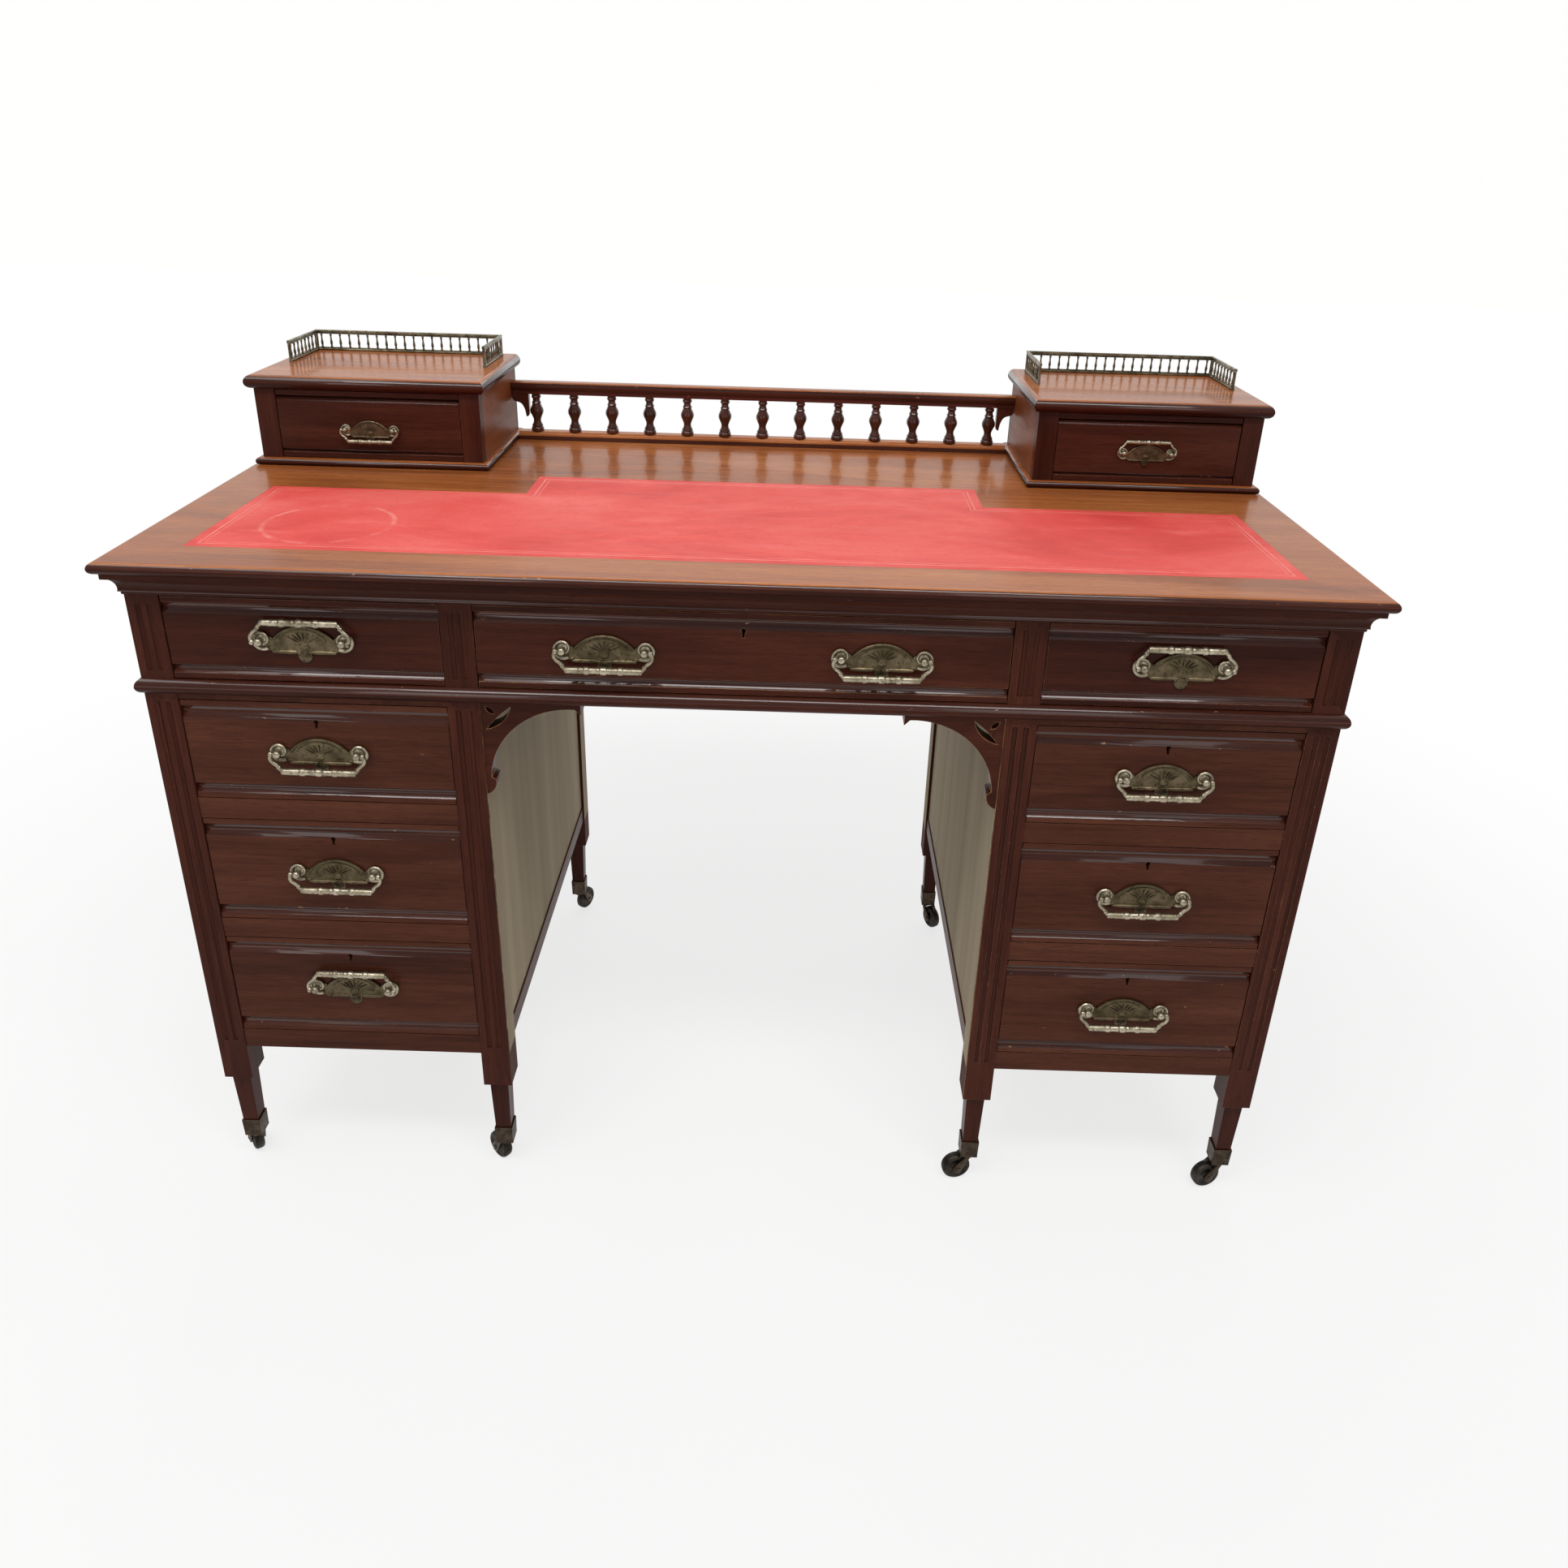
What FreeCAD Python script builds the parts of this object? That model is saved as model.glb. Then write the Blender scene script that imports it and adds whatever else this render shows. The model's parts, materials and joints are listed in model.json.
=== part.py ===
import FreeCAD, Part
import math
import os

# Twin-pedestal writing desk. X runs to the right, Y to the back and Z up from the floor, in millimetres.
# The origin lies on the floor under the middle of the top.
V = FreeCAD.Vector
UP = V(0, 0, 1)
RIGHT = V(1, 0, 0)
BACK = V(0, 1, 0)
ORIGIN = V(0, 0, 0)

# Overall sizes
TOP_WIDTH = 1219.0
TOP_DEPTH = 582.0
WRITING_HEIGHT = 767.0

# Writing top and its bed moulding
TOP_BOARD = 18.0
NOSE = 12.0
NOSE_STEP = 7.0
SIDE_OVERHANG = 16.5
FRONT_OVERHANG = 25.0
REAR_OVERHANG = 16.0
BED_HEIGHT = 21.0
BED_PROJECTION = 12.0
BED_STRIP = 24.0
BED_BEAD = 4.0
BEAD_OUT = 1.6
COVE_FOOT = 3.6
COVE_HOLLOW = 4.8
COVE_HEAD = 10.2

# Leather let into the top, deeper between the boxes than in front of them
LEATHER = 1.2
LEATHER_FIT = 0.1
LEATHER_SIDE_MARGIN = 63.5
LEATHER_FRONT_MARGIN = 58.5
LEATHER_WING_DEPTH = 216.0
LEATHER_CENTRE_DEPTH = 290.0
LEATHER_CENTRE_WIDTH = 518.0

# Posts, frieze and waist
POST = 32.0
FLUTE_RADIUS = 3.0
FLUTE_SET_OUT = 1.2
FLUTE_SPACING = 11.0
FLUTE_END = 9.0
FRIEZE_OPENING = 88.0
WAIST_HEIGHT = 16.0
WAIST_PROJECTION = 6.0
PANEL = 11.0
PANEL_INSET = 4.0
BACK_PANEL = 10.0
DIVIDER_RELIEF = 1.0

# Pedestals and legs
KNEEHOLE_WIDTH = 522.0
PEDESTAL_TOP_BOARD = 6.0
UPPER_OPENING = 113.0
MIDDLE_OPENING = 126.0
LOWER_OPENING = 128.0
DRAWER_RAIL = 24.0
RAIL_DEPTH = 46.0
RAIL_SETBACK = 1.0
BOTTOM_RAIL = 25.0
BOTTOM_BOARD = 14.0
KNEEHOLE_RAIL = 22.0
RUNNER_HEIGHT = 11.0
RUNNER_SHELF = 14.0
GUIDE_HEIGHT = 12.0
LEG_STRAIGHT = 46.0
LEG_SHOULDER_WIDTH = 21.0
LEG_FOOT_WIDTH = 17.0
BRACKET_WIDTH = 100.0
BRACKET_DROP = 105.0
BRACKET_THICKNESS = 20.0
BRACKET_TIP = 6.0
BRACKET_SETBACK = 2.0
BRACKET_LOBE = 20.0
BRACKET_LOBE_WIDTH = 10.5
BRACKET_NOTCH = 3.0
LEAF_REACH = 30.0
LEAF_EDGE = 5.0
LEAF_BULGE = 5.5
LEAF_HOLLOW = 1.5
BUD_REACH = 13.0
BUD_BULGE = 2.5

# Drawers
DRAWER_GAP = 1.0
RUNNING_GAP = 0.3
FRONT_THICKNESS = 20.0
DRAWER_SIDE = 9.0
DRAWER_BACK = 9.0
DRAWER_BOTTOM = 6.0
BOTTOM_LIFT = 8.0
SIDE_DROP = 14.0
DRAWER_REAR_CLEARANCE = 16.0
STRIP = 6.0
HOLLOW = 3.6
HOLLOW_LIP = 2.7
LIP_DROP = 1.8
QUIRK = 1.3
FIELD_BAND_TOP = 20.0
FIELD_BAND_BOTTOM = 17.0
FRIEZE_BAND_TOP = 17.0
FRIEZE_BAND_BOTTOM = 15.0
BOX_BAND_TOP = 12.0
BOX_BAND_BOTTOM = 10.0

# Locks
LOCK_WIDTH = 46.0
LOCK_HEIGHT = 38.0
LOCK_THICKNESS = 9.0
KEYHOLE_RADIUS = 2.4
KEYHOLE_SLOT = 2.6
KEYHOLE_DROP = 7.0

# Bail handles, at the size of the large drawers
HANDLE_PITCH = 80.0
PLATE = 2.5
PLATE_DROP = 12.0
DOME_WIDTH = 57.0
DOME_RISE = 15.5
SCROLL_RISE = 9.0
SCROLL_DIP = 2.0
PENDANT = 13.0
PENDANT_WIDTH = 18.0
PENDANT_WAIST = 8.0
PIVOT_OUT = 9.5
POST_HEAD = 3.6
POST_NECK = 2.6
POST_TIP = 1.8
POST_ROUND = 1.4
POST_FLATS = 8
PIN = 1.5
PIN_CLEARANCE = 0.05
PIN_END_GAP = 0.4
BAIL_DROP = 19.5
BAR_LENGTH = 76.0
BAR_RADIUS = 3.1
BAR_END = 1.8
BEAD_RADIUS = 4.3
BEAD_WIDTH = 8.0
BEAD_SLOPE = 3.0
BAR_FLATS = 8
ARM = 4.0
EYE_RADIUS = 3.0
EYE_WIDTH = 4.0
EYE_GAP = 0.8
BAIL_RAISED_ANGLE = 191.0
BOX_HANDLE_SCALE = 0.7
HANDLE_LIFT = 2.0
BOX_HANDLE_LIFT = -4.5
CENTRE_HANDLE_OFFSET = 135.0

# Castors
CASTOR_HEIGHT = 36.5
CUP_FLOOR = 5.0
CUP_HEIGHT = 24.0
CUP_WALL = 1.5
CUP_FIT = 0.1
STEM = 4.0
STEM_CLEARANCE = 0.05
STEM_END_GAP = 0.4
SWIVEL_GAP = 0.2
CROWN = 3.0
CROWN_HEEL = 4.0
WHEEL_RADIUS = 17.0
WHEEL_WIDTH = 12.0
CASTOR_TRAIL = 13.5
WHEEL_GAP = 1.0
CHEEK = 2.5
CHEEK_GAP = 0.5
CHEEK_NOSE = 6.0
AXLE = 3.0
AXLE_CLEARANCE = 0.05

# Top boxes, spindle gallery and brass galleries
BOX_SIDE_MARGIN = 14.0
BOX_WIDTH = 265.0
BOX_DEPTH = 191.5
BOX_REAR_MARGIN = 20.5
BOX_BASE = 8.5
BOX_OPENING = 82.0
BOX_LID = 16.0
BOX_BASE_PROJECTION = 7.5
BOX_LID_PROJECTION = 8.0
BOX_STILE = 23.5
BOX_STILE_DEPTH = 14.0
BOX_WALL = 10.0
BOX_BACK = 8.0
BOX_GUIDE = 10.0
BOX_DRAWER_CLEARANCE = 8.0
SPINDLES = 13
SPINDLE_END = 31.5
SPINDLE_HEIGHT = 49.0
SPINDLE_FOOT = 6.6
SPINDLE_FOOT_HEIGHT = 7.0
SPINDLE_NECK = 3.3
SPINDLE_LOWER_NECK = 14.5
SPINDLE_BULB = 7.2
SPINDLE_BULB_LOW = 24.0
SPINDLE_BULB_HIGH = 29.5
SPINDLE_UPPER_NECK = 39.5
SPINDLE_COLLAR = 4.4
SPINDLE_COLLAR_LOW = 44.0
SPINDLE_COLLAR_HIGH = 46.5
SPINDLE_TOP = 3.2
SPINDLE_FLATS = 8
GALLERY_BASE = 11.0
GALLERY_RAIL = 16.0
GALLERY_DEPTH = 16.0
GALLERY_ROUND = 5.5
RAIL_NECK = 10.5
RAIL_SHELF = 5.5
RAIL_ROUND = 1.6
GALLERY_SETBACK = 44.0
EAR_THICKNESS = 8.0
EAR_DROP = 30.0
EAR_TIP = 5.0
EAR_GAP = 0.3
BRASS_HEIGHT = 26.0
BRASS_THICKNESS = 3.0
BRASS_INSET = 11.0
BRASS_REAR_INSET = 12.0
BRASS_RETURN = 92.0
BRASS_SILL = 4.0
BRASS_CAP = 5.0
BALUSTER_PITCH = 15.0
BALUSTER_NECK = 3.0
BALUSTER_BULB = 6.0
BULB_HEIGHT = 7.0

# Places worked out from the sizes
half_top = TOP_WIDTH / 2
top_front = -TOP_DEPTH / 2
top_back = TOP_DEPTH / 2
bed_top = WRITING_HEIGHT - TOP_BOARD
frieze_top = bed_top - BED_HEIGHT
waist_top = frieze_top - FRIEZE_OPENING
waist_bottom = waist_top - WAIST_HEIGHT
case_half = half_top - SIDE_OVERHANG
case_front = top_front + FRONT_OVERHANG
case_back = top_back - REAR_OVERHANG
kneehole_half = KNEEHOLE_WIDTH / 2
opening_in = kneehole_half + POST
opening_out = case_half - POST
front_plane = case_front + RAIL_SETBACK
post_back = case_front + POST
rear_post_front = case_back - POST
panel_out = case_half - PANEL_INSET
panel_in = panel_out - PANEL
kneehole_panel_out = kneehole_half + PANEL_INSET + PANEL
pedestal_ceiling = waist_bottom - PEDESTAL_TOP_BOARD
upper_floor = pedestal_ceiling - UPPER_OPENING
middle_ceiling = upper_floor - DRAWER_RAIL
middle_floor = middle_ceiling - MIDDLE_OPENING
lower_ceiling = middle_floor - DRAWER_RAIL
lower_floor = lower_ceiling - LOWER_OPENING
case_bottom = lower_floor - BOTTOM_RAIL
leg_shoulder = case_bottom - LEG_STRAIGHT
leg_foot = CASTOR_HEIGHT + CUP_FLOOR
box_out = half_top - BOX_SIDE_MARGIN
box_in = box_out - BOX_WIDTH
box_back = top_back - BOX_REAR_MARGIN
box_front = box_back - BOX_DEPTH
box_floor = WRITING_HEIGHT + BOX_BASE
box_ceiling = box_floor + BOX_OPENING
lid_top = box_ceiling + BOX_LID
gallery_y = top_back - GALLERY_SETBACK
axle_height = WHEEL_RADIUS

SIDES = {"left": -1, "right": 1}
CASTORS = {
    "left_outer_front": (-1, "outer", "front", -143),
    "left_inner_front": (-1, "inner", "front", -132),
    "right_inner_front": (1, "inner", "front", -80),
    "right_outer_front": (1, "outer", "front", -75),
    "left_outer_rear": (-1, "outer", "rear", 15),
    "left_inner_rear": (-1, "inner", "rear", 153),
    "right_inner_rear": (1, "inner", "rear", 27),
    "right_outer_rear": (1, "outer", "rear", -140),
}


def box(x0, x1, y0, y1, z0, z1):
    return Part.makeBox(x1 - x0, y1 - y0, z1 - z0, V(x0, y0, z0))


def to_side(shape, side):
    """Shapes are drawn on the right; the left ones are their mirror image."""
    return shape if side > 0 else shape.mirror(ORIGIN, RIGHT)


def rod(radius, start, end):
    return Part.makeCylinder(radius, (end - start).Length, start, end - start)


def path(points, place):
    """Edges through points; a point of four numbers is an arc's middle and end."""
    edges = []
    last = points[0]
    for point in points[1:]:
        start = place(*last[-2:])
        end = place(*point[-2:])
        if len(point) == 4:
            edges.append(Part.Arc(start, place(*point[:2]), end).toShape())
        else:
            edges.append(Part.LineSegment(start, end).toShape())
        last = point
    return edges


def closed_face(edges):
    return Part.Face(Part.Wire(Part.__sortEdges__(edges)))


def faceted(points, start, axis, flats):
    """Small turned piece from points of distance along the axis and radius, its round drawn as flats."""
    across = RIGHT if abs(axis.dot(RIGHT)) < 0.5 else UP
    over = axis.cross(across)
    turns = [2 * math.pi * (step + 0.5) / flats for step in range(flats)]
    spokes = [across * math.cos(turn) + over * math.sin(turn) for turn in turns]
    rings = [[start + axis * along + spoke * radius for spoke in spokes] for along, radius in points]
    faces = [Part.Face(Part.makePolygon(ring + ring[:1])) for ring in (rings[0], rings[-1])]
    for low, high in zip(rings, rings[1:]):
        for step in range(flats):
            corners = [low[step - 1], low[step], high[step], high[step - 1], low[step - 1]]
            faces.append(Part.Face(Part.makePolygon(corners)))
    return Part.makeSolid(Part.makeShell(faces))


def moulded(profile, left, right, front, back):
    """Slab whose front and two sides carry a profile of projection and height, mitred at the corners."""
    low = profile[0][-1]
    high = profile[-1][-1]
    reach = max(out for point in profile for out in point[0::2])
    side_edges = path(profile, lambda out, z: V(right + out, 0, z))
    side_edges += path(profile, lambda out, z: V(left - out, 0, z))
    for out, z in (profile[0][-2:], profile[-1][-2:]):
        side_edges.append(Part.LineSegment(V(left - out, 0, z), V(right + out, 0, z)).toShape())
    front_edges = path(profile, lambda out, z: V(0, front - out, z))
    corners = [(front - profile[0][-2], low), (back, low), (back, high), (front - profile[-1][-2], high)]
    front_edges += path(corners, lambda y, z: V(0, y, z))
    along = closed_face(side_edges).extrude(BACK * (back - front + reach))
    along.translate(BACK * (front - reach))
    across = closed_face(front_edges).extrude(RIGHT * (right - left + 2 * reach))
    across.translate(RIGHT * (left - reach))
    return along.common(across).Solids[0]


def half_round(low, high, projection):
    """Rounded nose that stands out by its projection at mid height."""
    start = max(0, projection - (high - low) / 2)
    return [(start, low), (projection, (low + high) / 2, start, high)]


def leather_outline(fit):
    """Stepped outline of the leather, narrowed by a fit on each side."""
    wing = half_top - LEATHER_SIDE_MARGIN - fit
    centre = LEATHER_CENTRE_WIDTH / 2 - fit
    front = top_front + LEATHER_FRONT_MARGIN + fit
    wing_back = top_front + LEATHER_FRONT_MARGIN + LEATHER_WING_DEPTH - fit
    centre_back = top_front + LEATHER_FRONT_MARGIN + LEATHER_CENTRE_DEPTH - fit
    floor = WRITING_HEIGHT - LEATHER
    points = [(-wing, front), (wing, front), (wing, wing_back), (centre, wing_back), (centre, centre_back)]
    points += [(-centre, centre_back), (-centre, wing_back), (-wing, wing_back), (-wing, front)]
    return closed_face(path(points, lambda x, y: V(x, y, floor))).extrude(UP * LEATHER)


def writing_top():
    nose_radius = NOSE / 2
    nose_bottom = WRITING_HEIGHT - NOSE
    inset = nose_radius
    profile = [(-NOSE_STEP, bed_top), (-NOSE_STEP, nose_bottom), (-inset, nose_bottom)]
    profile += [(0, nose_bottom + nose_radius, -inset, WRITING_HEIGHT)]
    board = moulded(profile, -half_top, half_top, top_front, top_back).cut(leather_outline(0))
    bead_top = frieze_top + BED_BEAD
    cove_top = bed_top - BED_BEAD / 2
    cove_middle = (bead_top + cove_top) / 2 + BED_BEAD / 2
    bed_profile = [(0, frieze_top), (BEAD_OUT, (frieze_top + bead_top) / 2, 0, bead_top)]
    bed_profile += [(COVE_FOOT, bead_top)]
    bed_profile += [(COVE_HOLLOW, cove_middle, COVE_HEAD, cove_top)]
    bed_profile += [(BED_PROJECTION, cove_top), (BED_PROJECTION, bed_top)]
    slab = moulded(bed_profile, -case_half, case_half, case_front, case_back)
    inner_x = case_half - BED_STRIP
    inner_front = case_front + BED_STRIP
    inner_back = case_back - BED_STRIP
    front = slab.common(box(-half_top, half_top, top_front, inner_front, frieze_top, bed_top))
    side = slab.common(box(inner_x, half_top, inner_front, case_back, frieze_top, bed_top))
    rear = box(-inner_x, inner_x, inner_back, case_back, frieze_top, bed_top)
    return [board, front, side, to_side(side, -1), rear]


def fluted(post, x0, low, high):
    """Two upright flutes cut in the front of a post."""
    middle = x0 + POST / 2
    for offset in (-FLUTE_SPACING / 2, FLUTE_SPACING / 2):
        foot = V(middle + offset, case_front - FLUTE_SET_OUT, low + FLUTE_END)
        post = post.cut(Part.makeCylinder(FLUTE_RADIUS, high - low - 2 * FLUTE_END, foot))
    return post


def frieze_case():
    waist_profile = half_round(waist_bottom, waist_top, WAIST_PROJECTION)
    solids = [moulded(waist_profile, -case_half, case_half, case_front, case_back)]
    right = []
    for x0 in (kneehole_half, opening_out):
        post = box(x0, x0 + POST, case_front, post_back, waist_top, frieze_top)
        right.append(fluted(post, x0, waist_top, frieze_top))
    right.append(box(opening_out, case_half, rear_post_front, case_back, waist_top, frieze_top))
    right.append(box(panel_in, panel_out, post_back, rear_post_front, waist_top, frieze_top))
    divider_in = kneehole_half + DIVIDER_RELIEF
    divider_out = opening_in - DIVIDER_RELIEF
    panel_front = case_back - BACK_PANEL
    right.append(box(divider_in, divider_out, post_back, panel_front, waist_top, frieze_top))
    guide_in = opening_out + DIVIDER_RELIEF
    right.append(box(guide_in, panel_in, post_back, rear_post_front, waist_top, waist_top + GUIDE_HEIGHT))
    for side in SIDES.values():
        solids += [to_side(solid, side) for solid in right]
    solids.append(box(-opening_out, opening_out, panel_front, case_back, waist_top, frieze_top))
    return solids


def square_bar(centre, width, low, high):
    half = width / 2
    return box(centre.x - half, centre.x + half, centre.y - half, centre.y + half, low, high)


def square(centre, width, z):
    half = width / 2
    corners = [(-half, -half), (half, -half), (half, half), (-half, half), (-half, -half)]
    return Part.makePolygon([V(centre.x + x, centre.y + y, z) for x, y in corners])


def tapered(centre, low_width, high_width, low, high):
    return Part.makeLoft([square(centre, low_width, low), square(centre, high_width, high)], True, True)


def post_corner(edge, end):
    x0 = opening_out if edge == "outer" else kneehole_half
    y0 = case_front if end == "front" else rear_post_front
    return x0, y0


def leg(centre, grow):
    """Leg below the case, straight and then tapered from a shoulder, widened all round by grow."""
    straight = square_bar(centre, POST + 2 * grow, leg_shoulder, case_bottom)
    foot_width = LEG_FOOT_WIDTH + 2 * grow
    shoulder_width = LEG_SHOULDER_WIDTH + 2 * grow
    return straight.fuse(tapered(centre, foot_width, shoulder_width, leg_foot, leg_shoulder))


def leg_post(edge, end):
    """Corner post that runs down through the case into a tapered leg."""
    x0, y0 = post_corner(edge, end)
    post = box(x0, x0 + POST, y0, y0 + POST, case_bottom, waist_bottom)
    if end == "front":
        post = fluted(post, x0, case_bottom, waist_bottom)
    return post.fuse(leg(castor_centre(1, edge, end), 0)).removeSplitter()


def drawer_floors():
    return {"upper": upper_floor, "middle": middle_floor, "lower": lower_floor}


def drawer_ceilings():
    return {"upper": pedestal_ceiling, "middle": middle_ceiling, "lower": lower_ceiling}


def pedestal():
    solids = [leg_post(edge, end) for edge in ("outer", "inner") for end in ("front", "rear")]
    board_back = case_back - BACK_PANEL
    solids.append(box(panel_in, panel_out, post_back, rear_post_front, case_bottom, waist_bottom))
    rail_top = case_bottom + KNEEHOLE_RAIL
    rail_out = kneehole_half + PANEL_INSET / 2
    solids.append(box(rail_out, kneehole_panel_out, post_back, rear_post_front, case_bottom, rail_top))
    panel_face = kneehole_half + PANEL_INSET
    solids.append(box(panel_face, kneehole_panel_out, post_back, rear_post_front, rail_top, waist_bottom))
    solids.append(box(opening_in, opening_out, board_back, case_back, case_bottom, waist_bottom))
    rail_back = front_plane + RAIL_DEPTH
    for low, high in ((case_bottom, lower_floor), (middle_floor - DRAWER_RAIL, middle_floor),
                      (upper_floor - DRAWER_RAIL, upper_floor)):
        rail = box(opening_in, opening_out, front_plane, rail_back, low, high)
        solids.append(rail)
    board_top = case_bottom + BOTTOM_BOARD
    solids.append(box(opening_in, opening_out, rail_back, board_back, case_bottom, board_top))
    solids.append(box(opening_in, opening_out, front_plane, board_back, pedestal_ceiling, waist_bottom))
    guide_in = opening_in - DIVIDER_RELIEF
    guide_out = opening_out + DIVIDER_RELIEF
    for floor in drawer_floors().values():
        low = max(floor - RUNNER_HEIGHT, board_top)
        for x0, x1 in ((opening_in, opening_in + RUNNER_SHELF), (opening_out - RUNNER_SHELF, opening_out)):
            solids.append(box(x0, x1, rail_back, board_back, low, floor))
        for x0, x1 in ((kneehole_panel_out, guide_in), (guide_out, panel_in)):
            guide_top = floor + GUIDE_HEIGHT
            solids.append(box(x0, x1, post_back, rear_post_front, floor - RUNNER_HEIGHT, guide_top))
    return solids


def pierced_leaf(start, end, outer, inner):
    """Hole between two arcs that bulge from the line between two points, in x and z."""
    middle = (start + end) * 0.5
    side = (end - start).cross(BACK).normalize()
    first = middle + side * outer
    second = middle + side * inner
    edges = [Part.Arc(start, first, end).toShape(), Part.Arc(end, second, start).toShape()]
    return closed_face(edges).extrude(BACK * BRACKET_THICKNESS)


def kneehole_brackets():
    """Spandrels that turn the corner under the frieze, arched below, pierced with a leaf and a bud."""
    corner_x = kneehole_half
    corner_z = waist_bottom
    tip_x = corner_x - BRACKET_WIDTH
    tip_z = corner_z - BRACKET_DROP
    face_y = case_front + BRACKET_SETBACK
    arch_x = tip_x + BRACKET_TIP
    arch_z = tip_z + BRACKET_LOBE
    share = math.sqrt(0.5)
    middle_x = arch_x + (corner_x - BRACKET_TIP - arch_x) * share
    middle_z = arch_z + (corner_z - BRACKET_TIP - arch_z) * share
    lobe_x = corner_x - BRACKET_LOBE_WIDTH
    points = [(tip_x, corner_z), (tip_x, corner_z - BRACKET_TIP * 2), (arch_x, corner_z - BRACKET_TIP)]
    points += [(middle_x, middle_z, corner_x - BRACKET_TIP, arch_z), (lobe_x, arch_z - BRACKET_NOTCH)]
    points += [((lobe_x + corner_x - BRACKET_TIP) / 2, tip_z + BRACKET_TIP, corner_x, tip_z)]
    points += [(corner_x, corner_z), (tip_x, corner_z)]
    bracket = closed_face(path(points, lambda x, z: V(x, face_y, z))).extrude(BACK * BRACKET_THICKNESS)

    def from_corner(across, down):
        return V(corner_x - across, face_y, corner_z - down)

    leaf_foot = from_corner(LEAF_EDGE, LEAF_REACH)
    leaf_tip = from_corner(LEAF_REACH, LEAF_EDGE)
    bud_foot = from_corner(LEAF_EDGE, LEAF_EDGE)
    bud_tip = from_corner(BUD_REACH, BUD_REACH)
    leaf = pierced_leaf(leaf_foot, leaf_tip, LEAF_BULGE, -LEAF_HOLLOW)
    bud = pierced_leaf(bud_foot, bud_tip, BUD_BULGE, -BUD_BULGE)
    bracket = bracket.cut([leaf, bud])
    return [bracket, to_side(bracket, -1)]


def castor_centre(side, edge, end):
    x0, y0 = post_corner(edge, end)
    return V(side * (x0 + POST / 2), y0 + POST / 2, 0)


def castor_cups():
    """Square cups that follow the taper of the legs, with a floor that the fork's stem turns in."""
    cups = []
    cup_top = CASTOR_HEIGHT + CUP_HEIGHT
    for side, edge, end, _angle in CASTORS.values():
        centre = castor_centre(side, edge, end)
        grow = CUP_FIT + CUP_WALL
        wall_zone = square_bar(centre, POST + 2 * grow, leg_foot, cup_top)
        floor = square_bar(centre, LEG_FOOT_WIDTH + 2 * grow, CASTOR_HEIGHT, leg_foot)
        wall = leg(centre, grow).common(wall_zone).cut(leg(centre, CUP_FIT))
        hole = Part.makeCylinder(STEM + STEM_CLEARANCE, CUP_FLOOR, centre + UP * CASTOR_HEIGHT)
        cups.append(wall.fuse(floor).cut(hole).removeSplitter())
    return cups


def castor_fork(side, edge, end, angle):
    """Fork with its stem and axle, drawn trailing to the front and then swivelled."""
    crown_top = CASTOR_HEIGHT - SWIVEL_GAP
    crown_low = crown_top - CROWN
    cheek_in = WHEEL_WIDTH / 2 + CHEEK_GAP
    cheek_out = cheek_in + CHEEK
    nose = -CASTOR_TRAIL
    heel = STEM + CROWN_HEEL
    reach = math.sqrt(max(0, (WHEEL_RADIUS + WHEEL_GAP) ** 2 - (crown_low - axle_height) ** 2))
    lip = nose + reach
    crown = [(-cheek_out, lip), (cheek_out, lip), (cheek_out, 0), (STEM, heel)]
    crown += [(-STEM, heel), (-cheek_out, 0), (-cheek_out, lip)]
    body = closed_face(path(crown, lambda x, y: V(x, y, crown_low))).extrude(UP * CROWN)
    body = body.fuse(Part.makeCylinder(STEM, SWIVEL_GAP + CUP_FLOOR - STEM_END_GAP, UP * crown_top))
    toe = CHEEK_NOSE / 2
    outline = [(0, crown_low), (lip, crown_low), (nose - toe, axle_height + CHEEK_NOSE)]
    outline += [(nose - CHEEK_NOSE, axle_height)]
    outline += [(nose - toe, axle_height - CHEEK_NOSE), (nose + toe, axle_height - CHEEK_NOSE)]
    outline += [(nose + CHEEK_NOSE, axle_height), (0, crown_low)]
    cheek = closed_face(path(outline, lambda y, z: V(cheek_in, y, z))).extrude(RIGHT * CHEEK)
    body = body.fuse([cheek, cheek.mirror(ORIGIN, RIGHT)])
    body = body.fuse(rod(AXLE, V(-cheek_out, nose, axle_height), V(cheek_out, nose, axle_height)))
    return placed_castor(body.removeSplitter(), side, edge, end, angle)


def castor_wheel(side, edge, end, angle):
    half = WHEEL_WIDTH / 2
    hub = V(0, -CASTOR_TRAIL, axle_height)
    wheel = rod(WHEEL_RADIUS, hub - RIGHT * half, hub + RIGHT * half)
    hole = rod(AXLE + AXLE_CLEARANCE, hub - RIGHT * half, hub + RIGHT * half)
    return placed_castor(wheel.cut(hole), side, edge, end, angle)


def placed_castor(shape, side, edge, end, angle):
    shape.rotate(ORIGIN, UP, angle)
    shape.translate(castor_centre(side, edge, end))
    return shape


def drawer_front(x0, x1, z0, z1, y0, top_band, bottom_band):
    """Front with a raised field between hollows, its section drawn as depth and height."""
    field_top = z1 - top_band
    field_bottom = z0 + bottom_band
    upper_middle = (z1 - STRIP + field_top) / 2
    lower_middle = (z0 + STRIP + field_bottom) / 2 + LIP_DROP / 2
    points = [(0, z1), (0, z1 - STRIP), (QUIRK, z1 - STRIP)]
    points += [(HOLLOW, upper_middle, HOLLOW_LIP, field_top + HOLLOW), (0, field_top)]
    points += [(0, field_bottom), (QUIRK, field_bottom)]
    points += [(HOLLOW, lower_middle, HOLLOW_LIP, z0 + STRIP + LIP_DROP)]
    points += [(0, z0 + STRIP), (0, z0), (FRONT_THICKNESS, z0), (FRONT_THICKNESS, z1), (0, z1)]
    face = closed_face(path(points, lambda depth, z: V(x0, y0 + depth, z)))
    return face.extrude(RIGHT * (x1 - x0))


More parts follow.
